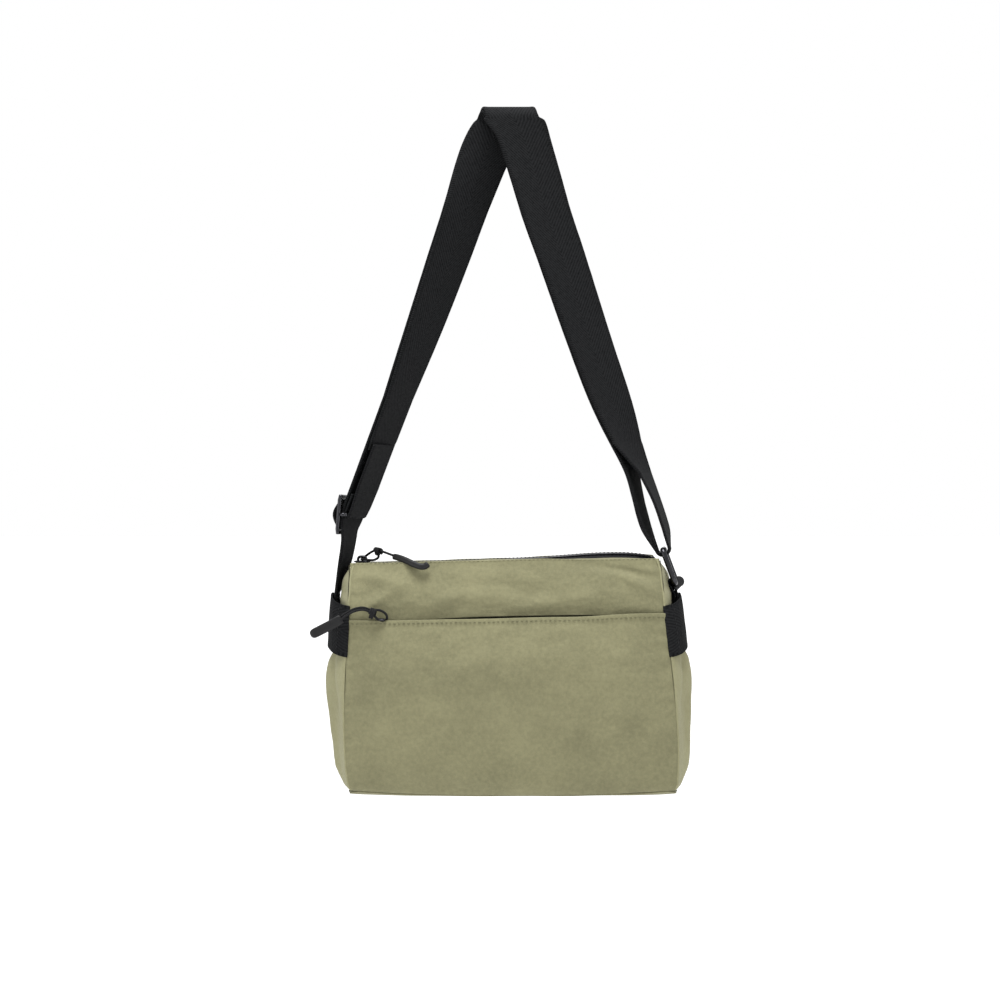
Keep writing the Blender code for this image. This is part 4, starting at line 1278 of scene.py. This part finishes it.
def add_teeth(side, word):
    """Separate moulded teeth on a cord along the tape's edge; they mesh with the other side's."""
    pitch = 2 * ZIP_HALF_L / TEETH_COUNT
    first = -ZIP_HALF_L + (0 if side < 0 else pitch / 2)
    bm = bmesh.new()
    for k in range(TEETH_COUNT):
        x = first + (k + 0.25) * pitch
        centre = zip_line(x, side * 0.0007, TEETH_H + TEETH_T / 2)
        ahead = (zip_line(x + 0.001, side * 0.0007, TEETH_H) - zip_line(x, side * 0.0007, TEETH_H)).normalized()
        across = Vector((0, 1, 0))
        turn = Matrix((ahead, across, ahead.cross(across))).transposed().to_4x4()
        size = Matrix.Diagonal((pitch * 0.42, 0.0034, TEETH_T + (0.0005 if side < 0 else -0.0002), 1))
        bmesh.ops.create_cube(bm, size=1, matrix=Matrix.Translation(centre) @ turn @ size)
    shape = mesh_from(bm, f"teeth_{word}")
    places = np.linspace(-ZIP_HALF_L, ZIP_HALF_L, 121)
    points = [zip_line(x, side * 0.0024, TEETH_H + 0.0008) for x in places]
    bead = bar_mesh("bead", points, Vector((0, 1, 0)), 0.0007, 0.0007, 2.0, around=8)
    shape = joined(f"teeth_{word}", [shape, bead])
    soften(place_piece(f"teeth_{word}", shape, "black_resin", "bag", f"top_zip_teeth_{word}"), 0.00022, 2)


def add_top_zip():
    for side, word in ((-1, "front"), (1, "back")):

        def surface(u, v, side=side):
            x = (2 * u - 1) * TOP_HALF_W
            bare = rise_about(x, 0.055, 0.030) if side < 0 else 0.0
            place = zip_line(x, side * between(0.0126 + 0.0034 * bare, 0.0004, v), TAPE_H)
            place.z -= 0.0018 * bare * (1 - v) ** 2
            return place

        shape = sheet_mesh(f"tape_{word}", surface, 110, 6, 2 * TOP_HALF_W, 0.0156)
        thicken(place_piece(f"tape_{word}", shape, "black_tape", "bag", f"top_zip_tape_{word}"), TAPE_T, -side, False)
        add_teeth(side, word)
    points = [zip_place(between(-0.1135, -0.1172, k / 6), 0, TAPE_H + 0.0008 + 0.0002 * k) for k in range(7)]
    place_piece("tape_end", bar_mesh("tape_end", points, Vector((0, 1, 0)), 0.0100, 0.0006, 4.0), "black_tape", "bag")
    for x in (-0.1121, 0.1121):
        points = [zip_line(x, w, TEETH_H + 0.0008) for w in np.linspace(-0.0030, 0.0030, 5)]
        shape = bar_mesh("zip_stop", points, Vector((1, 0, 0)), 0.0011, 0.0009, 3.0)
        place_piece(f"zip_stop_{'left' if x < 0 else 'right'}", shape, "gunmetal", "bag")


def add_pocket_zip():
    for name, low, high in (("lower", 0.1290, 0.1357), ("upper", 0.1363, 0.1430)):

        def surface(u, v, low=low, high=high):
            return wall_point(between(-0.985, 0.985, u), between(low, high, v), -1, 0.0052)

        shape = sheet_mesh(f"pocket_tape_{name}", surface, 110, 4, 0.22, 0.0067)
        piece = place_piece(f"pocket_tape_{name}", shape, "black_tape", "bag", f"pocket_zip_tape_{name}")
        thicken(piece, TAPE_T, -1, False)
        h = POCKET_ZIP_H + (-0.0009 if name == "lower" else 0.0009)
        points, count = [], COIL_TURNS * 8
        for k in range(count):
            a = 2 * math.pi * k / 8
            centre = wall_point(between(-0.92, 0.92, k / (count - 1)), h, -1, 0.0043)
            points.append(centre + Vector((0, COIL_R * math.cos(a), COIL_R * math.sin(a))))
        coil = bar_mesh("coil", points, Vector((1, 0.3, 0.2)), 0.00028, 0.00028, 2.0, around=6)
        place_piece(f"pocket_coil_{name}", coil, "black_resin", "bag", f"pocket_zip_coil_{name}")


def add_sliders():
    """Both zip sliders: a rounded plate with a bridge for the pull's cord."""
    top = zip_place(TOP_SLIDER_X, 0, TEETH_H + TEETH_T + GAP)
    right, up, deep = Vector((1, 0, 0)), Vector((0, 0, 1)), Vector((0, 1, 0))
    for name, centre, out, across, sizes in (
        ("top", top, up, deep, TOP_PLATE),
        ("pocket", POCKET_SLIDER, -deep, up, POCKET_PLATE),
    ):
        half_w, plate_t, bridge = sizes
        points = [centre + right * a + out * (plate_t / 2) for a in np.linspace(-0.0062, 0.0062, 13)]

        def plate_ends(t):
            return math.sqrt(max(0.15, 1 - abs(2 * t - 1) ** 5))

        plate = bar_mesh("plate", points, across, half_w, plate_t / 2, 5.0, plate_ends)
        arch = []
        foot = plate_t * 0.6
        for k in range(17):
            a = math.pi * k / 16
            c, s = math.cos(a), math.sin(a)
            fat = (abs(c) ** 4 + abs(s) ** 4) ** -0.25
            lift = foot + (bridge - foot - 0.0005) * s * fat
            arch.append(centre + right * (-0.0031 * c * fat) + out * lift)
        bridge_bar = bar_mesh("bridge", arch, across, half_w * 0.55, 0.0010, 3.0)
        shape = joined(f"{name}_slider_shape", [plate, bridge_bar])
        place_piece(f"{name}_slider_shape", shape, "gunmetal", f"{name}_slider", f"{name}_zip_slider")


add_camera()
add_stage()
add_pulls()
SWELL_FIELD = swell_field()
add_panels()
add_bands()
add_strap()
add_adjuster()
add_ring()
add_top_zip()
add_pocket_zip()
add_sliders()
for piece_name, piece in frame["nodes"].items():
    if not piece.hide_render:
        slot_name = next(s["material_slot"] for s in frame["record"]["subparts"] if s["node"] == piece_name)
        piece.data.materials.clear()
        piece.data.materials.append(MATERIALS[slot_name])
